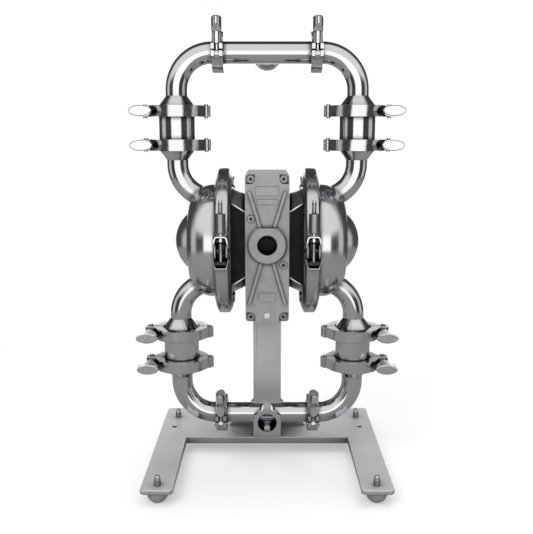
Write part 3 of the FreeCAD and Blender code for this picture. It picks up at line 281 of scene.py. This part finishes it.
def awayFrom(tree, where, centre, kept):
    # Distance from an axis through centre; kept is 1 for the two directions across it
    centred = addNode(tree, "ShaderNodeMapping", values={"Location": [-c for c in centre]},
                      links={"Vector": where}).outputs[0]
    flat = addNode(tree, "ShaderNodeVectorMath", {"operation": "MULTIPLY"}, {1: kept}, {0: centred}).outputs[0]
    return addNode(tree, "ShaderNodeVectorMath", {"operation": "LENGTH"}, links={0: flat}).outputs["Value"]


drumPolish = {  # metres from the chambers' axis
    "reach": 0.108,
    "fade": 0.012,
    "softer": 0.12,  # added to the tube's roughness
}


def nearAxis(tree, where):
    # 1 on the drums round the chambers' axis, 0 further out
    length = awayFrom(tree, where, (0, planeY, axisZ), (0, 1, 1))
    limits = {"From Min": drumPolish["reach"] - drumPolish["fade"], "From Max": drumPolish["reach"],
              "To Min": 1.0, "To Max": 0.0}
    return addNode(tree, "ShaderNodeMapRange", {"interpolation_type": "SMOOTHSTEP"},
                   limits, {"Value": length}).outputs[0]


def creases(tree, reach, darkest):
    # White, going darker where another surface is within reach millimetres: painted shade in corners
    hidden = addNode(tree, "ShaderNodeAmbientOcclusion", {"samples": 8}, {"Distance": reach / 1000}).outputs["AO"]
    limits = {"From Min": 0.5, "From Max": 1.0, "To Min": darkest, "To Max": 1.0}
    return addNode(tree, "ShaderNodeMapRange", values=limits, links={"Value": hidden}).outputs[0]


def shadeCorners(tree, shader, colour, reach, darkest):
    shade = multiplied(tree, {7: creases(tree, reach, darkest)}, {6: linear(colour)})
    tree.links.new(shade, shader.inputs["Base Color"])


def polishedStainless():
    # Stainless steel tube, mechanically polished: mirror-like, a little soft, with faint wiping marks
    material, tree, shader, where = startMaterial("polished stainless tube", "#cbccce", 1.0, 0.1)
    rough = mottle(tree, where, 28.0, 0.08, 0.12)
    soft = addMath(tree, "MULTIPLY_ADD", {1: drumPolish["softer"]}, {0: nearAxis(tree, where), 2: rough})
    tree.links.new(soft, shader.inputs["Roughness"])  # the spun drums are a little softer than the tube
    shadeCorners(tree, shader, "#cbccce", 9.0, 0.12)
    grain = mottle(tree, where, 1.6, 0.0, 1.0)  # polishing grain, drawn coarser than the real 0.2 mm
    press(tree, shader, grain, 0.00001, 0.5)
    return material


def brightFastener():
    # Turned and tumbled stainless: bright, its edges rounded by tumbling
    material, tree, shader, where = startMaterial("tumbled stainless fastener", "#d2d3d5", 1.0, 0.16)
    rough = mottle(tree, where, 6.0, 0.12, 0.22)
    tree.links.new(rough, shader.inputs["Roughness"])
    shadeCorners(tree, shader, "#d2d3d5", 4.0, 0.12)
    press(tree, shader, mottle(tree, where, 1.2, 0.0, 1.0), 0.00002, 0.5)
    return material


def castClamp():
    # Investment-cast stainless, vibratory polished: bright with a soft cast skin
    material, tree, shader, where = startMaterial("polished stainless casting", "#c8c9cb", 1.0, 0.14)
    rough = mottle(tree, where, 9.0, 0.11, 0.2)
    tree.links.new(rough, shader.inputs["Roughness"])
    shadeCorners(tree, shader, "#c8c9cb", 11.0, 0.08)
    press(tree, shader, mottle(tree, where, 2.0, 0.0, 1.0), 0.00003, 0.6)
    return material


exhaustPort = {  # millimetres
    "radius": 17.4,
    "floor": 20.0,  # in front of the pump's plane, where the painted shade ends
    "rise": 2.0,  # above the chambers' axis
}


def insidePort(tree, where):
    # 1 on the wall and the back of the exhaust port, 0 elsewhere
    length = awayFrom(tree, where, (0, 0, axisZ + exhaustPort["rise"] / 1000), (1, 0, 1))
    narrow = addMath(tree, "LESS_THAN", {1: exhaustPort["radius"] / 1000}, {0: length})
    depth = addNode(tree, "ShaderNodeSeparateXYZ", links={0: where}).outputs["Y"]
    shallow = addMath(tree, "LESS_THAN", {1: planeY - exhaustPort["floor"] / 1000}, {0: depth})
    return addMath(tree, "MULTIPLY", links={0: narrow, 1: shallow})


def plainScrew():
    # Zinc-plated socket screws: mid grey, with painted shade round the head and in the socket
    material, tree, shader, where = startMaterial("zinc plated screw", "#8f9092", 0.7, 0.3)
    rough = mottle(tree, where, 3.0, 0.28, 0.42)
    tree.links.new(rough, shader.inputs["Roughness"])
    shadeCorners(tree, shader, "#8f9092", 4.0, 0.02)
    return material


def castAluminium():
    # Die-cast aluminium, bead blasted: even grey with a fine grain, with painted shade in corners and in the exhaust
    # port
    material, tree, shader, where = startMaterial("blasted cast aluminium", "#9b9d9e", 0.4, 0.48)
    tint = blend(tree, mottle(tree, where, 14.0, 0.0, 1.0), "#969899", "#a1a3a4")
    # painted shade round ribs, bosses and lands, 9 mm reach
    worn = multiplied(tree, {6: tint, 7: creases(tree, 9.0, 0.02)})
    burnt = addNode(tree, "ShaderNodeMix", {"data_type": "RGBA"}, {7: linear("#0c0c0c")},
                    {0: insidePort(tree, where), 6: worn})
    tree.links.new(burnt.outputs[2], shader.inputs["Base Color"])  # the exhaust port's wall and back are painted near black: painted shade in the recess
    press(tree, shader, mottle(tree, where, 0.9, 0.0, 1.0, 4.0), 0.00012, 0.6)  # blasting grain
    return material


def satinStainless():
    # Folded stainless sheet, brushed along its length and then pickled: satin grey, with painted shade near other
    # parts
    material, tree, shader, where = startMaterial("satin stainless sheet", "#c4c5c7", 0.45, 0.4)
    brushed = mottle(tree, where, 1.4, 0.0, 1.0, 2.0, (1.0, 0.04, 1.0))
    rough = addNode(tree, "ShaderNodeMapRange", values={"To Min": 0.33, "To Max": 0.44}, links={"Value": brushed})
    tree.links.new(rough.outputs[0], shader.inputs["Roughness"])
    tint = blend(tree, mottle(tree, where, 60.0, 0.0, 1.0), "#c9cacc", "#d2d3d5")
    # painted shade near the post, the tee and the other parts, 70 mm reach
    shaded = multiplied(tree, {6: tint, 7: creases(tree, 70.0, 0.3)})
    tree.links.new(shaded, shader.inputs["Base Color"])
    press(tree, shader, brushed, 0.00002, 0.5)
    return material


def epoxyBlack():
    # Epoxy-coated cast iron: black, a low sheen and a slight orange peel
    material, tree, shader, where = startMaterial("black epoxy coating", "#080809", 0.0, 0.45,
                                                  **{"Specular IOR Level": 0.2})
    rough = mottle(tree, where, 18.0, 0.36, 0.5)
    tree.links.new(rough, shader.inputs["Roughness"])
    press(tree, shader, mottle(tree, where, 2.2, 0.0, 1.0), 0.00006, 0.5)
    return material


def greyRubber():
    # Moulded non-marking rubber: mid grey and matt
    material, tree, shader, where = startMaterial("moulded grey rubber", "#a9aaac", 0.0, 0.6)
    tint = blend(tree, mottle(tree, where, 10.0, 0.0, 1.0), "#848587", "#929395")
    tree.links.new(tint, shader.inputs["Base Color"])
    press(tree, shader, mottle(tree, where, 1.0, 0.0, 1.0), 0.00005, 0.5)
    return material


def blackElastomer():
    # Moulded EPDM: black, matt, a little dusty
    material, tree, shader, where = startMaterial("moulded black elastomer", "#232324", 0.0, 0.65)
    tint = blend(tree, mottle(tree, where, 8.0, 0.0, 1.0), "#1d1d1e", "#2b2b2c")
    tree.links.new(tint, shader.inputs["Base Color"])
    return material


def whitePtfe():
    # Skived PTFE: waxy white, slightly translucent
    material, tree, shader, where = startMaterial("waxy white PTFE", "#eceae4", 0.0, 0.42,
                                                  **{"Subsurface Weight": 0.08})
    tint = blend(tree, mottle(tree, where, 12.0, 0.0, 1.0), "#e8e6df", "#f0eee9")
    tree.links.new(tint, shader.inputs["Base Color"])
    return material


def turnedStainless():
    # Lathe-turned stainless inside the pump: fine rings and a soft shine
    material, tree, shader, where = startMaterial("turned stainless", "#b9babc", 1.0, 0.28)
    rough = mottle(tree, where, 1.5, 0.22, 0.34, 2.0, (1.0, 0.2, 0.2))
    tree.links.new(rough, shader.inputs["Roughness"])
    return material


def bearingBronze():
    # Sintered bearing bronze: brown gold, fine pores
    material, tree, shader, where = startMaterial("sintered bronze", "#a67c45", 1.0, 0.4)
    tint = blend(tree, mottle(tree, where, 0.8, 0.0, 1.0), "#9a713c", "#b0864e")
    tree.links.new(tint, shader.inputs["Base Color"])
    return material


def palePlug():
    # Moulded nylon plug: off-white, half matt
    material, tree, shader, where = startMaterial("pale moulded nylon", "#cfd0d0", 0.0, 0.45)
    tint = blend(tree, mottle(tree, where, 5.0, 0.0, 1.0), "#c8c9c9", "#d6d7d7")
    tree.links.new(tint, shader.inputs["Base Color"])
    return material


def creasedSteel(name, colour, roughness, reach, darkest):
    # Polished stainless whose corners and pockets are darkened with painted shade
    material, tree, shader, where = startMaterial(name, colour, 1.0, roughness)
    rough = mottle(tree, where, 8.0, roughness - 0.03, roughness + 0.05)
    tree.links.new(rough, shader.inputs["Roughness"])
    shadeCorners(tree, shader, colour, reach, darkest)
    press(tree, shader, mottle(tree, where, 1.4, 0.0, 1.0), 0.00002, 0.5)
    return material


bandFace = {  # metres across from the band's middle
    "polished": 0.0092,
    "dark": 0.0105,
    "darkness": 0.4,  # share of the colour that is left on the sides under the painted shade
}


def rolledBand():
    # The band's outer face is polished; its sloping sides are darkened in the colour as painted shade
    material = creasedSteel("rolled stainless band", "#c6c7c9", 0.17, 16.0, 0.04)
    tree = material.node_tree
    shader = tree.nodes["Principled BSDF"]
    low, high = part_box("band_clamp_right")
    polished = shader.inputs["Base Color"].links[0].from_socket
    where = addNode(tree, "ShaderNodeTexCoord").outputs["Object"]
    aside = addNode(tree, "ShaderNodeSeparateXYZ", links={0: where}).outputs["X"]
    right = addMath(tree, "ABSOLUTE", links={0: aside})
    across = addMath(tree, "SUBTRACT", {1: (low[0] + high[0]) / 2}, {0: right})
    reach = addMath(tree, "ABSOLUTE", links={0: across})
    limits = {"From Min": bandFace["polished"], "From Max": bandFace["dark"],
              "To Min": 1.0, "To Max": bandFace["darkness"]}
    # painted shade on the band's sloping sides
    side = addNode(tree, "ShaderNodeMapRange", values=limits, links={"Value": reach}).outputs[0]
    tree.links.new(multiplied(tree, {6: polished, 7: side}), shader.inputs["Base Color"])
    return material


finishes = {
    "polished_stainless": polishedStainless(),
    "bright_fasteners": brightFastener(),
    "epoxy_black": epoxyBlack(),
    "cast_aluminium": castAluminium(),
    "satin_stainless": satinStainless(),
    "grey_rubber": greyRubber(),
    "black_elastomer": blackElastomer(),
    "white_ptfe": whitePtfe(),
    "inner_stainless": turnedStainless(),
    "bronze": bearingBronze(),
    "pale_plug": palePlug(),
}
clampFinish = castClamp()
screwFinish = plainScrew()
bandFinish = rolledBand()
latchFinish = creasedSteel("bright latch steel", "#dcdde0", 0.14, 5.0, 0.1)
# the bars sit inside the latch; their dark colour is painted shade
barFinish = creasedSteel("steel bar in painted shade", "#3c3d3f", 0.3, 5.0, 0.1)
studFinish = creasedSteel("zinc plated stud", "#c2c4c6", 0.2, 2.5, 0.05)
nutFinish = creasedSteel("satin long nut", "#8d8e90", 0.3, 5.0, 0.1)
slotOf = {entry["node"]: entry["material_slot"] for entry in frame["record"]["subparts"]}
bodyOf = {name: body for body, names in frame["record"]["behaviour"]["bodies"].items() for name in names}


def dress(piece, finish):
    piece.data.materials.clear()
    piece.data.materials.append(finish)


def settle(piece, replaced):
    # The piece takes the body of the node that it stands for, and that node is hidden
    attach(piece, bodyOf[replaced])
    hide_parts(replaced)


def dressNodes():
    # Every CAD node takes the finish of its material slot, apart from the clamps and the motor's screws
    for name, node in nodes.items():
        finish = finishes[slotOf[name]]
        if "clamp_halves" in name:
            finish = clampFinish
        if name == "motor_screws":
            finish = screwFinish
        dress(node, finish)


dressNodes()
print("finishes applied")

roundedEdges = {  # millimetres that each piece's sharp edges are rounded by
    "motor_front_cover": 0.6,
    "motor_housing": 0.8,
    "motor_rear_cover": 1.0,
    "air_cover_left": 1.2,
    "air_cover_right": 1.2,
    "column_clamp_halves": 0.9,
    "manifold_clamp_halves": 0.8,
    "band_nut_left": 0.6,
    "band_nut_right": 0.6,
    "stand_post": 0.9,
    "post_head_plate": 0.6,
}
for number in range(1, 13):
    roundedEdges["wing_nut_%02d" % number] = 1.3


def shape(piece, kind, **settings):
    # Adds a modifier to the active piece and applies it
    modifier = piece.modifiers.new("shape", kind)
    for name, value in settings.items():
        setattr(modifier, name, value)
    bpy.ops.object.modifier_apply(modifier="shape")


def smoothBelow(degrees):
    bpy.ops.object.shade_smooth_by_angle(angle=math.radians(degrees))


def bakePlace():
    bpy.ops.object.transform_apply(location=True, rotation=True, scale=True)


def activeCopy(source, name):
    # A copy with a mesh of its own, selected alone
    bpy.ops.object.select_all(action="DESELECT")
    piece = bpy.data.objects.new(name, source.data.copy())
    bpy.context.scene.collection.objects.link(piece)
    bpy.context.view_layer.objects.active = piece
    piece.select_set(True)
    return piece


def copyNode(name):
    # The CAD node keeps its mesh; the copy is merged, ready to shape
    piece = activeCopy(nodes[name], name + "_soft")
    bpy.ops.object.mode_set(mode="EDIT")
    bpy.ops.mesh.select_all(action="SELECT")
    bpy.ops.mesh.remove_doubles(threshold=0.000004)
    bpy.ops.object.mode_set(mode="OBJECT")
    return piece


def roundEdges(piece, width):
    shape(piece, "BEVEL", width=width / 1000, segments=2, limit_method="ANGLE",
          angle_limit=math.radians(32), miter_outer="MITER_ARC")
    smoothBelow(40)
    shape(piece, "WEIGHTED_NORMAL", keep_sharp=True)


def softenPieces():
    for name, width in roundedEdges.items():
        piece = copyNode(name)
        roundEdges(piece, width)
        settle(piece, name)


softenPieces()
print("edges rounded:", len(roundedEdges), "pieces")

sheetBase = {  # millimetres
    "thick": 3.0,
    "bend": 2.0,  # outside radius of the folded edges
    "deeper": 4.4,  # the fold's edge hangs this much below the plain solid's
    "shorter": 9.0,  # the legs' tips end this much behind the plain solid's
    "tipRise": 5.6,  # the fold is this much less deep at the tips
    "corner": 5.0,  # cut off the tips' and the rear corners
    "boltHole": 5.0,  # radius of the two anchor holes
    "boltAside": 194.0,
    "boltBack": 135.0,  # behind the pump's plane
    "legInner": 163.55,  # from the middle to each leg's inner edge
    "crossFront": 80.6,  # the cross plate's front edge, behind the pump's plane
}


def selectEdges(piece, wanted):
    # Selects the edges whose two ends pass a test, in edge mode
    bpy.ops.object.mode_set(mode="EDIT")
    bpy.ops.mesh.select_mode(type="EDGE")
    bpy.ops.mesh.select_all(action="DESELECT")
    bpy.ops.object.mode_set(mode="OBJECT")
    points = piece.data.vertices
    for edge in piece.data.edges:
        edge.select = wanted(points[edge.vertices[0]].co, points[edge.vertices[1]].co)
    bpy.ops.object.mode_set(mode="EDIT")


def cutAway(piece, cutter):
    bpy.context.view_layer.objects.active = piece
    shape(piece, "BOOLEAN", operation="DIFFERENCE", solver="EXACT", object=cutter)
    bpy.data.objects.remove(cutter)


def cutHole(piece, place, radius):
    # A drilled hole through the sheet
    bpy.ops.object.select_all(action="DESELECT")
    bpy.ops.mesh.primitive_cylinder_add(vertices=32, radius=radius, depth=0.03, location=place)
    cutAway(piece, bpy.context.object)


def makeSheetBase():
    # Folded sheet: a flat with two legs, its edges bent down all round
    low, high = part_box("stand_base")
    mm = 0.001
    low = (low[0], low[1] + sheetBase["shorter"] * mm, low[2] - sheetBase["deeper"] * mm)
    inner = sheetBase["legInner"] * mm
    crossY = planeY + sheetBase["crossFront"] * mm
    bpy.ops.object.select_all(action="DESELECT")
    bpy.ops.mesh.primitive_plane_add(size=1.0, location=(0, (crossY + high[1]) / 2, high[2]))
    piece = bpy.context.object
    piece.name = "foldedBase"
    piece.scale = (high[0] - low[0], high[1] - crossY, 1)
    bakePlace()
    for side in (-1, 1):
        bpy.ops.object.mode_set(mode="EDIT")
        bpy.ops.mesh.select_all(action="SELECT")
        bpy.ops.mesh.bisect(plane_co=(side * inner, 0, 0), plane_no=(1, 0, 0))
        bpy.ops.object.mode_set(mode="OBJECT")
    for side in (-1, 1):
        selectEdges(piece, lambda a, b: max(a.y, b.y) < crossY + mm and
                    min(side * a.x, side * b.x) > inner - mm)
        bpy.ops.mesh.extrude_region_move(TRANSFORM_OT_translate={"value": (0, low[1] - crossY, 0)})
        bpy.ops.object.mode_set(mode="OBJECT")
    bpy.ops.object.mode_set(mode="EDIT")
    bpy.ops.mesh.select_mode(type="VERT")
    bpy.ops.mesh.select_all(action="DESELECT")
    bpy.ops.object.mode_set(mode="OBJECT")
    for point in piece.data.vertices:
        x, y = abs(point.co.x), point.co.y
        point.select = y < low[1] + mm or (y > high[1] - mm and x > high[0] - mm)
    bpy.ops.object.mode_set(mode="EDIT")
    bpy.ops.mesh.bevel(offset=sheetBase["corner"] * mm, segments=1, affect="VERTICES")
    bpy.ops.mesh.select_all(action="DESELECT")
    bpy.ops.mesh.select_mode(type="EDGE")
    bpy.ops.mesh.select_non_manifold(extend=False, use_wire=False, use_multi_face=False,
                                     use_non_contiguous=False, use_verts=False)
    bpy.ops.mesh.extrude_region_move(TRANSFORM_OT_translate={"value": (0, 0, low[2] - high[2])})
    bpy.ops.mesh.select_mode(type="VERT")
    bpy.ops.mesh.select_all(action="DESELECT")
    bpy.ops.object.mode_set(mode="OBJECT")
    for point in piece.data.vertices:
        point.select = point.co.y < low[1] + (sheetBase["corner"] + 1) * mm and point.co.z < high[2] - mm
    bpy.ops.object.mode_set(mode="EDIT")
    bpy.ops.transform.translate(value=(0, 0, sheetBase["tipRise"] * mm))
    bpy.ops.mesh.select_all(action="SELECT")
    bpy.ops.mesh.normals_make_consistent(inside=False)
    bpy.ops.object.mode_set(mode="OBJECT")
    shape(piece, "SOLIDIFY", thickness=sheetBase["thick"] * mm, offset=-1.0, use_even_offset=True)
    holeY = planeY + sheetBase["boltBack"] * mm
    for side in (-1, 1):
        cutHole(piece, (side * sheetBase["boltAside"] * mm, holeY, high[2]), sheetBase["boltHole"] * mm)
    shape(piece, "BEVEL", width=sheetBase["bend"] * mm, segments=3, limit_method="ANGLE",
          angle_limit=math.radians(60))
    smoothBelow(40)
    dress(piece, finishes["satin_stainless"])
    settle(piece, "stand_base")


makeSheetBase()
print("folded base made")


def drawLine(name, places):
    # One vertex, extruded from place to place; it stays in edit mode
    bpy.ops.object.select_all(action="DESELECT")
    bpy.ops.mesh.primitive_plane_add(size=0.001, location=places[0])
    piece = bpy.context.object
    piece.name = name
    bakePlace()
    bpy.ops.object.mode_set(mode="EDIT")
    bpy.ops.mesh.select_mode(type="VERT")
    bpy.ops.mesh.select_all(action="SELECT")
    bpy.ops.mesh.merge(type="CENTER")
    for before, after in zip(places, places[1:]):
        step = [b - a for a, b in zip(before, after)]
        bpy.ops.mesh.extrude_vertices_move(TRANSFORM_OT_translate={"value": step})
    bpy.ops.mesh.select_all(action="SELECT")
    return piece


def closeSkin():
    bpy.ops.mesh.select_all(action="SELECT")
    bpy.ops.mesh.remove_doubles(threshold=0.00001)
    bpy.ops.mesh.normals_make_consistent(inside=False)
    bpy.ops.object.mode_set(mode="OBJECT")


def turnRound(name, outline, centre, axis, steps):
    # Lathe work: outline is (radius, along) in millimetres, turned about an axis along X or Z
    flat = [(along, radius) if axis == "X" else (radius, along) for radius, along in outline]
    piece = drawLine(name, [(centre[0] + x / 1000, centre[1], centre[2] + z / 1000) for x, z in flat])
    direction = (1, 0, 0) if axis == "X" else (0, 0, 1)
    bpy.ops.mesh.spin(steps=steps, angle=math.tau, center=centre, axis=direction)
    closeSkin()
    smoothBelow(35)
    return piece


def joinPieces(first, *others):
    bpy.ops.object.select_all(action="DESELECT")
    for other in others:
        other.select_set(True)
    first.select_set(True)
    bpy.context.view_layer.objects.active = first
    bpy.ops.object.join()
    return first


def mirroredCopy(piece, name):
    # The same piece for the other side of the pump
    twin = activeCopy(piece, name)
    twin.scale = (-1, 1, 1)
    bakePlace()
    bpy.ops.object.mode_set(mode="EDIT")
    bpy.ops.mesh.select_all(action="SELECT")
    bpy.ops.mesh.normals_make_consistent(inside=False)
    bpy.ops.object.mode_set(mode="OBJECT")
    return twin


footStud = {  # millimetres
    "pitch": 1.9,
    "crest": 6.0,
    "root": 5.1,
    "crestFrom": 0.45,  # share of the pitch, where the crest starts and ends
    "crestTo": 0.6,
    "threaded": 12.6,
    "runOut": 0.4,  # from the last thread to the neck
    "neck": 2.6,
    "dome": 5.2,
    "domeHeight": 7.8,  # with the neck
    "below": 9.0,  # down into the foot
    "inset": 10.5,  # from the plain studs' box to a stud's centre
}


def makeFootStuds():
    # Threaded studs that stand up from the base, each with a polished domed end
    low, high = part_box("foot_studs")
    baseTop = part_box("stand_base")[1][2]
    inset = footStud["inset"] / 1000
    aside = (high[0] - low[0]) / 2 - inset
    front, back = low[1] + inset, high[1] - inset
    pitch, crest, root, neck = footStud["pitch"], footStud["crest"], footStud["root"], footStud["neck"]
    outline = [(0, -footStud["below"]), (root, -footStud["below"])]
    along = 0.0
    while along + pitch <= footStud["threaded"]:
        outline += [(root, along), (crest, along + pitch * footStud["crestFrom"]),
                    (crest, along + pitch * footStud["crestTo"])]
        along += pitch
    outline += [(root, along), (footStud["dome"], along + footStud["runOut"])]
    for turn in range(0, 91, 15):
        angle = math.radians(turn)
        rise = (footStud["domeHeight"] - neck) * math.sin(angle)
        outline.append((footStud["dome"] * math.cos(angle), along + neck + rise))
    stud = turnRound("studOne", outline, (0, 0, baseTop), "Z", steps=28)
    copies = []
    for x in (-aside, aside):
        for y in (front, back):
            copy = activeCopy(stud, "studCopy")
            copy.location = (x, y, 0)
            copies.append(copy)
    bpy.data.objects.remove(stud)
    whole = joinPieces(*copies)
    whole.name = "footStuds"
    bakePlace()
    dress(whole, studFinish)
    settle(whole, "foot_studs")


bandClamp = {  # millimetres, across from the joint's plane and out from the chambers' axis
    "halfWidth": 15.0,
    "face": 8.8,  # half of the flat outer face
    "crown": 131.5,
    "lip": 115.5,
    "grooveHalf": 9.2,
    "groove": 124.2,
    "mouthHalf": 11.4,
    "rim": 5.5,  # the rolled rim's height, and how far it leans in
    "rimLean": 1.2,
    "shoulder": ((-3.6, 1.9), (-1.1, 0.6), (0.0, -1.6)),  # from the crown and from the flat face's edge
    "gap": 6.0,
    "gapBlock": 40.0,  # size of the block that cuts the gap, and how far in front its middle is
    "gapFront": 125.0,
    "steps": 96,
}


def makeBandClamp():
    # A rolled V band round the right joint; its two ends meet at the latch in front
    low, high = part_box("band_clamp_right")
    centre = ((low[0] + high[0]) / 2, planeY, axisZ)
    wide, face, crown, lip = bandClamp["halfWidth"], bandClamp["face"], bandClamp["crown"], bandClamp["lip"]
    shoulder = [(crown + out, face + across) for out, across in bandClamp["shoulder"]]
    half = [(lip, wide), (lip + bandClamp["rim"], wide - bandClamp["rimLean"])] + shoulder
    inner = [(lip, bandClamp["mouthHalf"]), (bandClamp["groove"], bandClamp["grooveHalf"])]
    outline = [(radius, -across) for radius, across in half] + [(radius, across) for radius, across in reversed(half)]
    outline += inner + [(radius, -across) for radius, across in reversed(inner)] + [(lip, -wide)]
    ring = turnRound("bandClampRight", outline, centre, "X", bandClamp["steps"])
    bpy.ops.object.select_all(action="DESELECT")
    bpy.ops.mesh.primitive_cube_add(size=1.0, location=(centre[0], planeY - bandClamp["gapFront"] / 1000, axisZ))
    cutter = bpy.context.object
    cutter.scale = [size / 1000 for size in (bandClamp["gapBlock"], bandClamp["gapBlock"], bandClamp["gap"])]
    cutAway(ring, cutter)
    return ring, centre


latch = {  # millimetres from the bolt's centre line and from the chambers' axis
    "strapHalf": 13.6,
    "strapTop": 27.4,
    "strapFoot": 8.5,
    "strapTopHalf": 11.6,
    "strapCorner": 7.0,
    "strapThick": 2.8,
    "strapEdge": 0.7,
    "front": 8.6,  # how far the strap stands in front of the bolt's centre
    "back": 5.0,  # and behind it
    "cheekOuter": 12.6,
    "cheekInner": 7.6,
    "cheekLow": -10.0,
    "cheekHigh": 14.0,
    "cheekDeep": 16.0,
    "cheekBack": 3.0,  # a cheek's middle, behind the bolt's centre
    "cheekEdge": 2.4,
    "cupHalf": 13.2,
    "cupFootHalf": 10.0,
    "cupTop": -10.8,
    "cupFoot": -27.2,
    "cupThick": 1.8,
    "cupShoulder": 3.0,
    "cupFront": 7.6,
    "cupBack": 14.0,
    "cupEdge": 0.4,
    "barHalf": 11.6,
    "barRadius": 5.6,
    "barEdge": 0.6,
    "barRise": 19.4,
    "bossRadius": 6.2,
    "bossEdge": 0.7,
    "bossLow": 18.0,
    "bossHigh": 31.7,
}


def makeStrap(name, line, centre, front, back, thick, edge):
    # A strip bent along a line across the band, standing out from it
    piece = drawLine(name, [(centre[0] + x / 1000, centre[1] - front / 1000, centre[2] + z / 1000) for x, z in line])
    bpy.ops.mesh.extrude_region_move(TRANSFORM_OT_translate={"value": (0, (front + back) / 1000, 0)})
    bpy.ops.mesh.select_all(action="SELECT")
    bpy.ops.mesh.normals_make_consistent(inside=False)
    bpy.ops.object.mode_set(mode="OBJECT")
    shape(piece, "SOLIDIFY", thickness=thick / 1000, offset=0.0, use_even_offset=True)
    shape(piece, "BEVEL", width=edge / 1000, segments=2, limit_method="ANGLE", angle_limit=math.radians(40))
    smoothBelow(35)
    return piece


def makeCheek(name, centre, side):
    # The side of the band's bent end
    inner, outer = latch["cheekInner"] / 1000, latch["cheekOuter"] / 1000
    lowZ, highZ = latch["cheekLow"] / 1000, latch["cheekHigh"] / 1000
    bpy.ops.object.select_all(action="DESELECT")
    back = latch["cheekBack"] / 1000
    place = (centre[0] + side * (inner + outer) / 2, centre[1] + back, centre[2] + (lowZ + highZ) / 2)
    bpy.ops.mesh.primitive_cube_add(size=1.0, location=place)
    cheek = bpy.context.object
    cheek.name = name
    cheek.scale = (outer - inner, latch["cheekDeep"] / 1000, highZ - lowZ)
    bakePlace()
    shape(cheek, "BEVEL", width=latch["cheekEdge"] / 1000, segments=4)
    smoothBelow(35)
    return cheek


def makeBar(name, centre, rise, half, radius, edge):
    # A round bar across the band, its ends broken
    outline = [(0, -half), (radius - edge, -half), (radius, edge - half), (radius, half - edge),
               (radius - edge, half), (0, half)]
    return turnRound(name, outline, (centre[0], centre[1], centre[2] + rise / 1000), "X", steps=32)


def makeTrunnion(centre):
    # The bent strap with the bar and the boss that the T bolt's nut pulls on
    half, top, corner = latch["strapTopHalf"], latch["strapTop"], latch["strapCorner"]
    inset = latch["strapThick"] / 2
    radius = corner - inset
    bend = []
    for turn in range(0, 91, 15):
        angle = math.radians(turn)
        bend.append((half - corner + radius * math.cos(angle), top - corner + radius * math.sin(angle)))
    footX, foot = latch["strapHalf"] - inset, latch["strapFoot"]
    line = [(footX, foot)] + bend + [(-x, z) for x, z in reversed(bend)] + [(-footX, foot)]
    strap = makeStrap("strapRight", line, centre, latch["front"], latch["back"], latch["strapThick"],
                      latch["strapEdge"])
    bar = makeBar("strapBar", centre, latch["barRise"], latch["barHalf"], latch["barRadius"], latch["barEdge"])
    low, high, edge, wide = latch["bossLow"], latch["bossHigh"], latch["bossEdge"], latch["bossRadius"]
    outline = [(0, low), (wide, low), (wide, high - edge), (wide - edge, high), (0, high)]
    boss = turnRound("strapBoss", outline, centre, "Z", steps=32)
    dress(strap, latchFinish)
    dress(bar, barFinish)
    dress(boss, latchFinish)
    return joinPieces(strap, bar, boss)


def makeCup(centre):
    # The folded pocket in the band's lower end that holds the T bolt's bar
    inset = latch["cupThick"] / 2
    wide, narrow = latch["cupHalf"] - inset, latch["cupFootHalf"] - inset
    top, foot = latch["cupTop"], latch["cupFoot"] + inset
    half = [(wide, top), (wide, top - latch["cupShoulder"]), (narrow, foot)]
    line = half + [(-x, z) for x, z in reversed(half)]
    return makeStrap("latchCup", line, centre, latch["cupFront"], latch["cupBack"], latch["cupThick"],
                     latch["cupEdge"])


def makeLatches():
    # The right side's pieces are made; the left side's are mirrored copies
    ring, jointCentre = makeBandClamp()
    boltLow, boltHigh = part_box("band_nut_right")
    centre = (jointCentre[0], (boltLow[1] + boltHigh[1]) / 2, axisZ)
    trunnion = makeTrunnion(centre)
    cup = makeCup(centre)
    cheeks = [makeCheek("latchCheek", centre, side) for side in (-1, 1)]
    clamp = joinPieces(ring, cup, *cheeks)
    dress(clamp, bandFinish)
    rightSide = (clamp, trunnion, makeTbolt(centre))
    leftSide = [mirroredCopy(piece, piece.name.replace("Right", "Left")) for piece in rightSide]
    settle(rightSide[0], "band_clamp_right")
    settle(leftSide[0], "band_clamp_left")
    for number, node, name in ((1, "band_trunnions", "latchStraps"), (2, "band_tbolts", "latchBolts")):
        whole = joinPieces(rightSide[number], leftSide[number])
        whole.name = name
        settle(whole, node)


tBolt = {  # millimetres from the bolt's centre line and from the chambers' axis
    "pitch": 1.8,
    "crest": 4.0,
    "root": 3.3,
    "rootTo": 0.2,  # up from the start of each turn
    "crestFrom": 0.5,  # share of the pitch, where the crest starts and ends
    "crestTo": 0.7,
    "low": -19.0,
    "high": 85.0,
    "endEdge": 0.8,
    "barHalf": 11.6,
    "barRadius": 5.6,
    "barEdge": 1.2,
}


def makeTbolt(centre):
    # T bolt: a cross bar in the cup and a threaded shank up through the nut
    pitch, crest, root, end = tBolt["pitch"], tBolt["crest"], tBolt["root"], tBolt["high"]
    outline = [(0, tBolt["low"]), (root, tBolt["low"])]
    along = tBolt["low"]
    while along + 2 * pitch < end:
        outline += [(root, along + tBolt["rootTo"]), (crest, along + pitch * tBolt["crestFrom"]),
                    (crest, along + pitch * tBolt["crestTo"])]
        along += pitch
    outline += [(root, along), (root, end - tBolt["endEdge"]), (root - tBolt["endEdge"], end), (0, end)]
    shank = turnRound("boltRight", outline, centre, "Z", steps=20)
    bar = makeBar("boltBar", centre, tBolt["low"], tBolt["barHalf"], tBolt["barRadius"], tBolt["barEdge"])
    dress(shank, latchFinish)
    dress(bar, barFinish)
    return joinPieces(shank, bar)


makeFootStuds()
makeLatches()
for side in ("left", "right"):
    dress(bpy.data.objects["band_nut_%s_soft" % side], nutFinish)
print("latches and studs made")
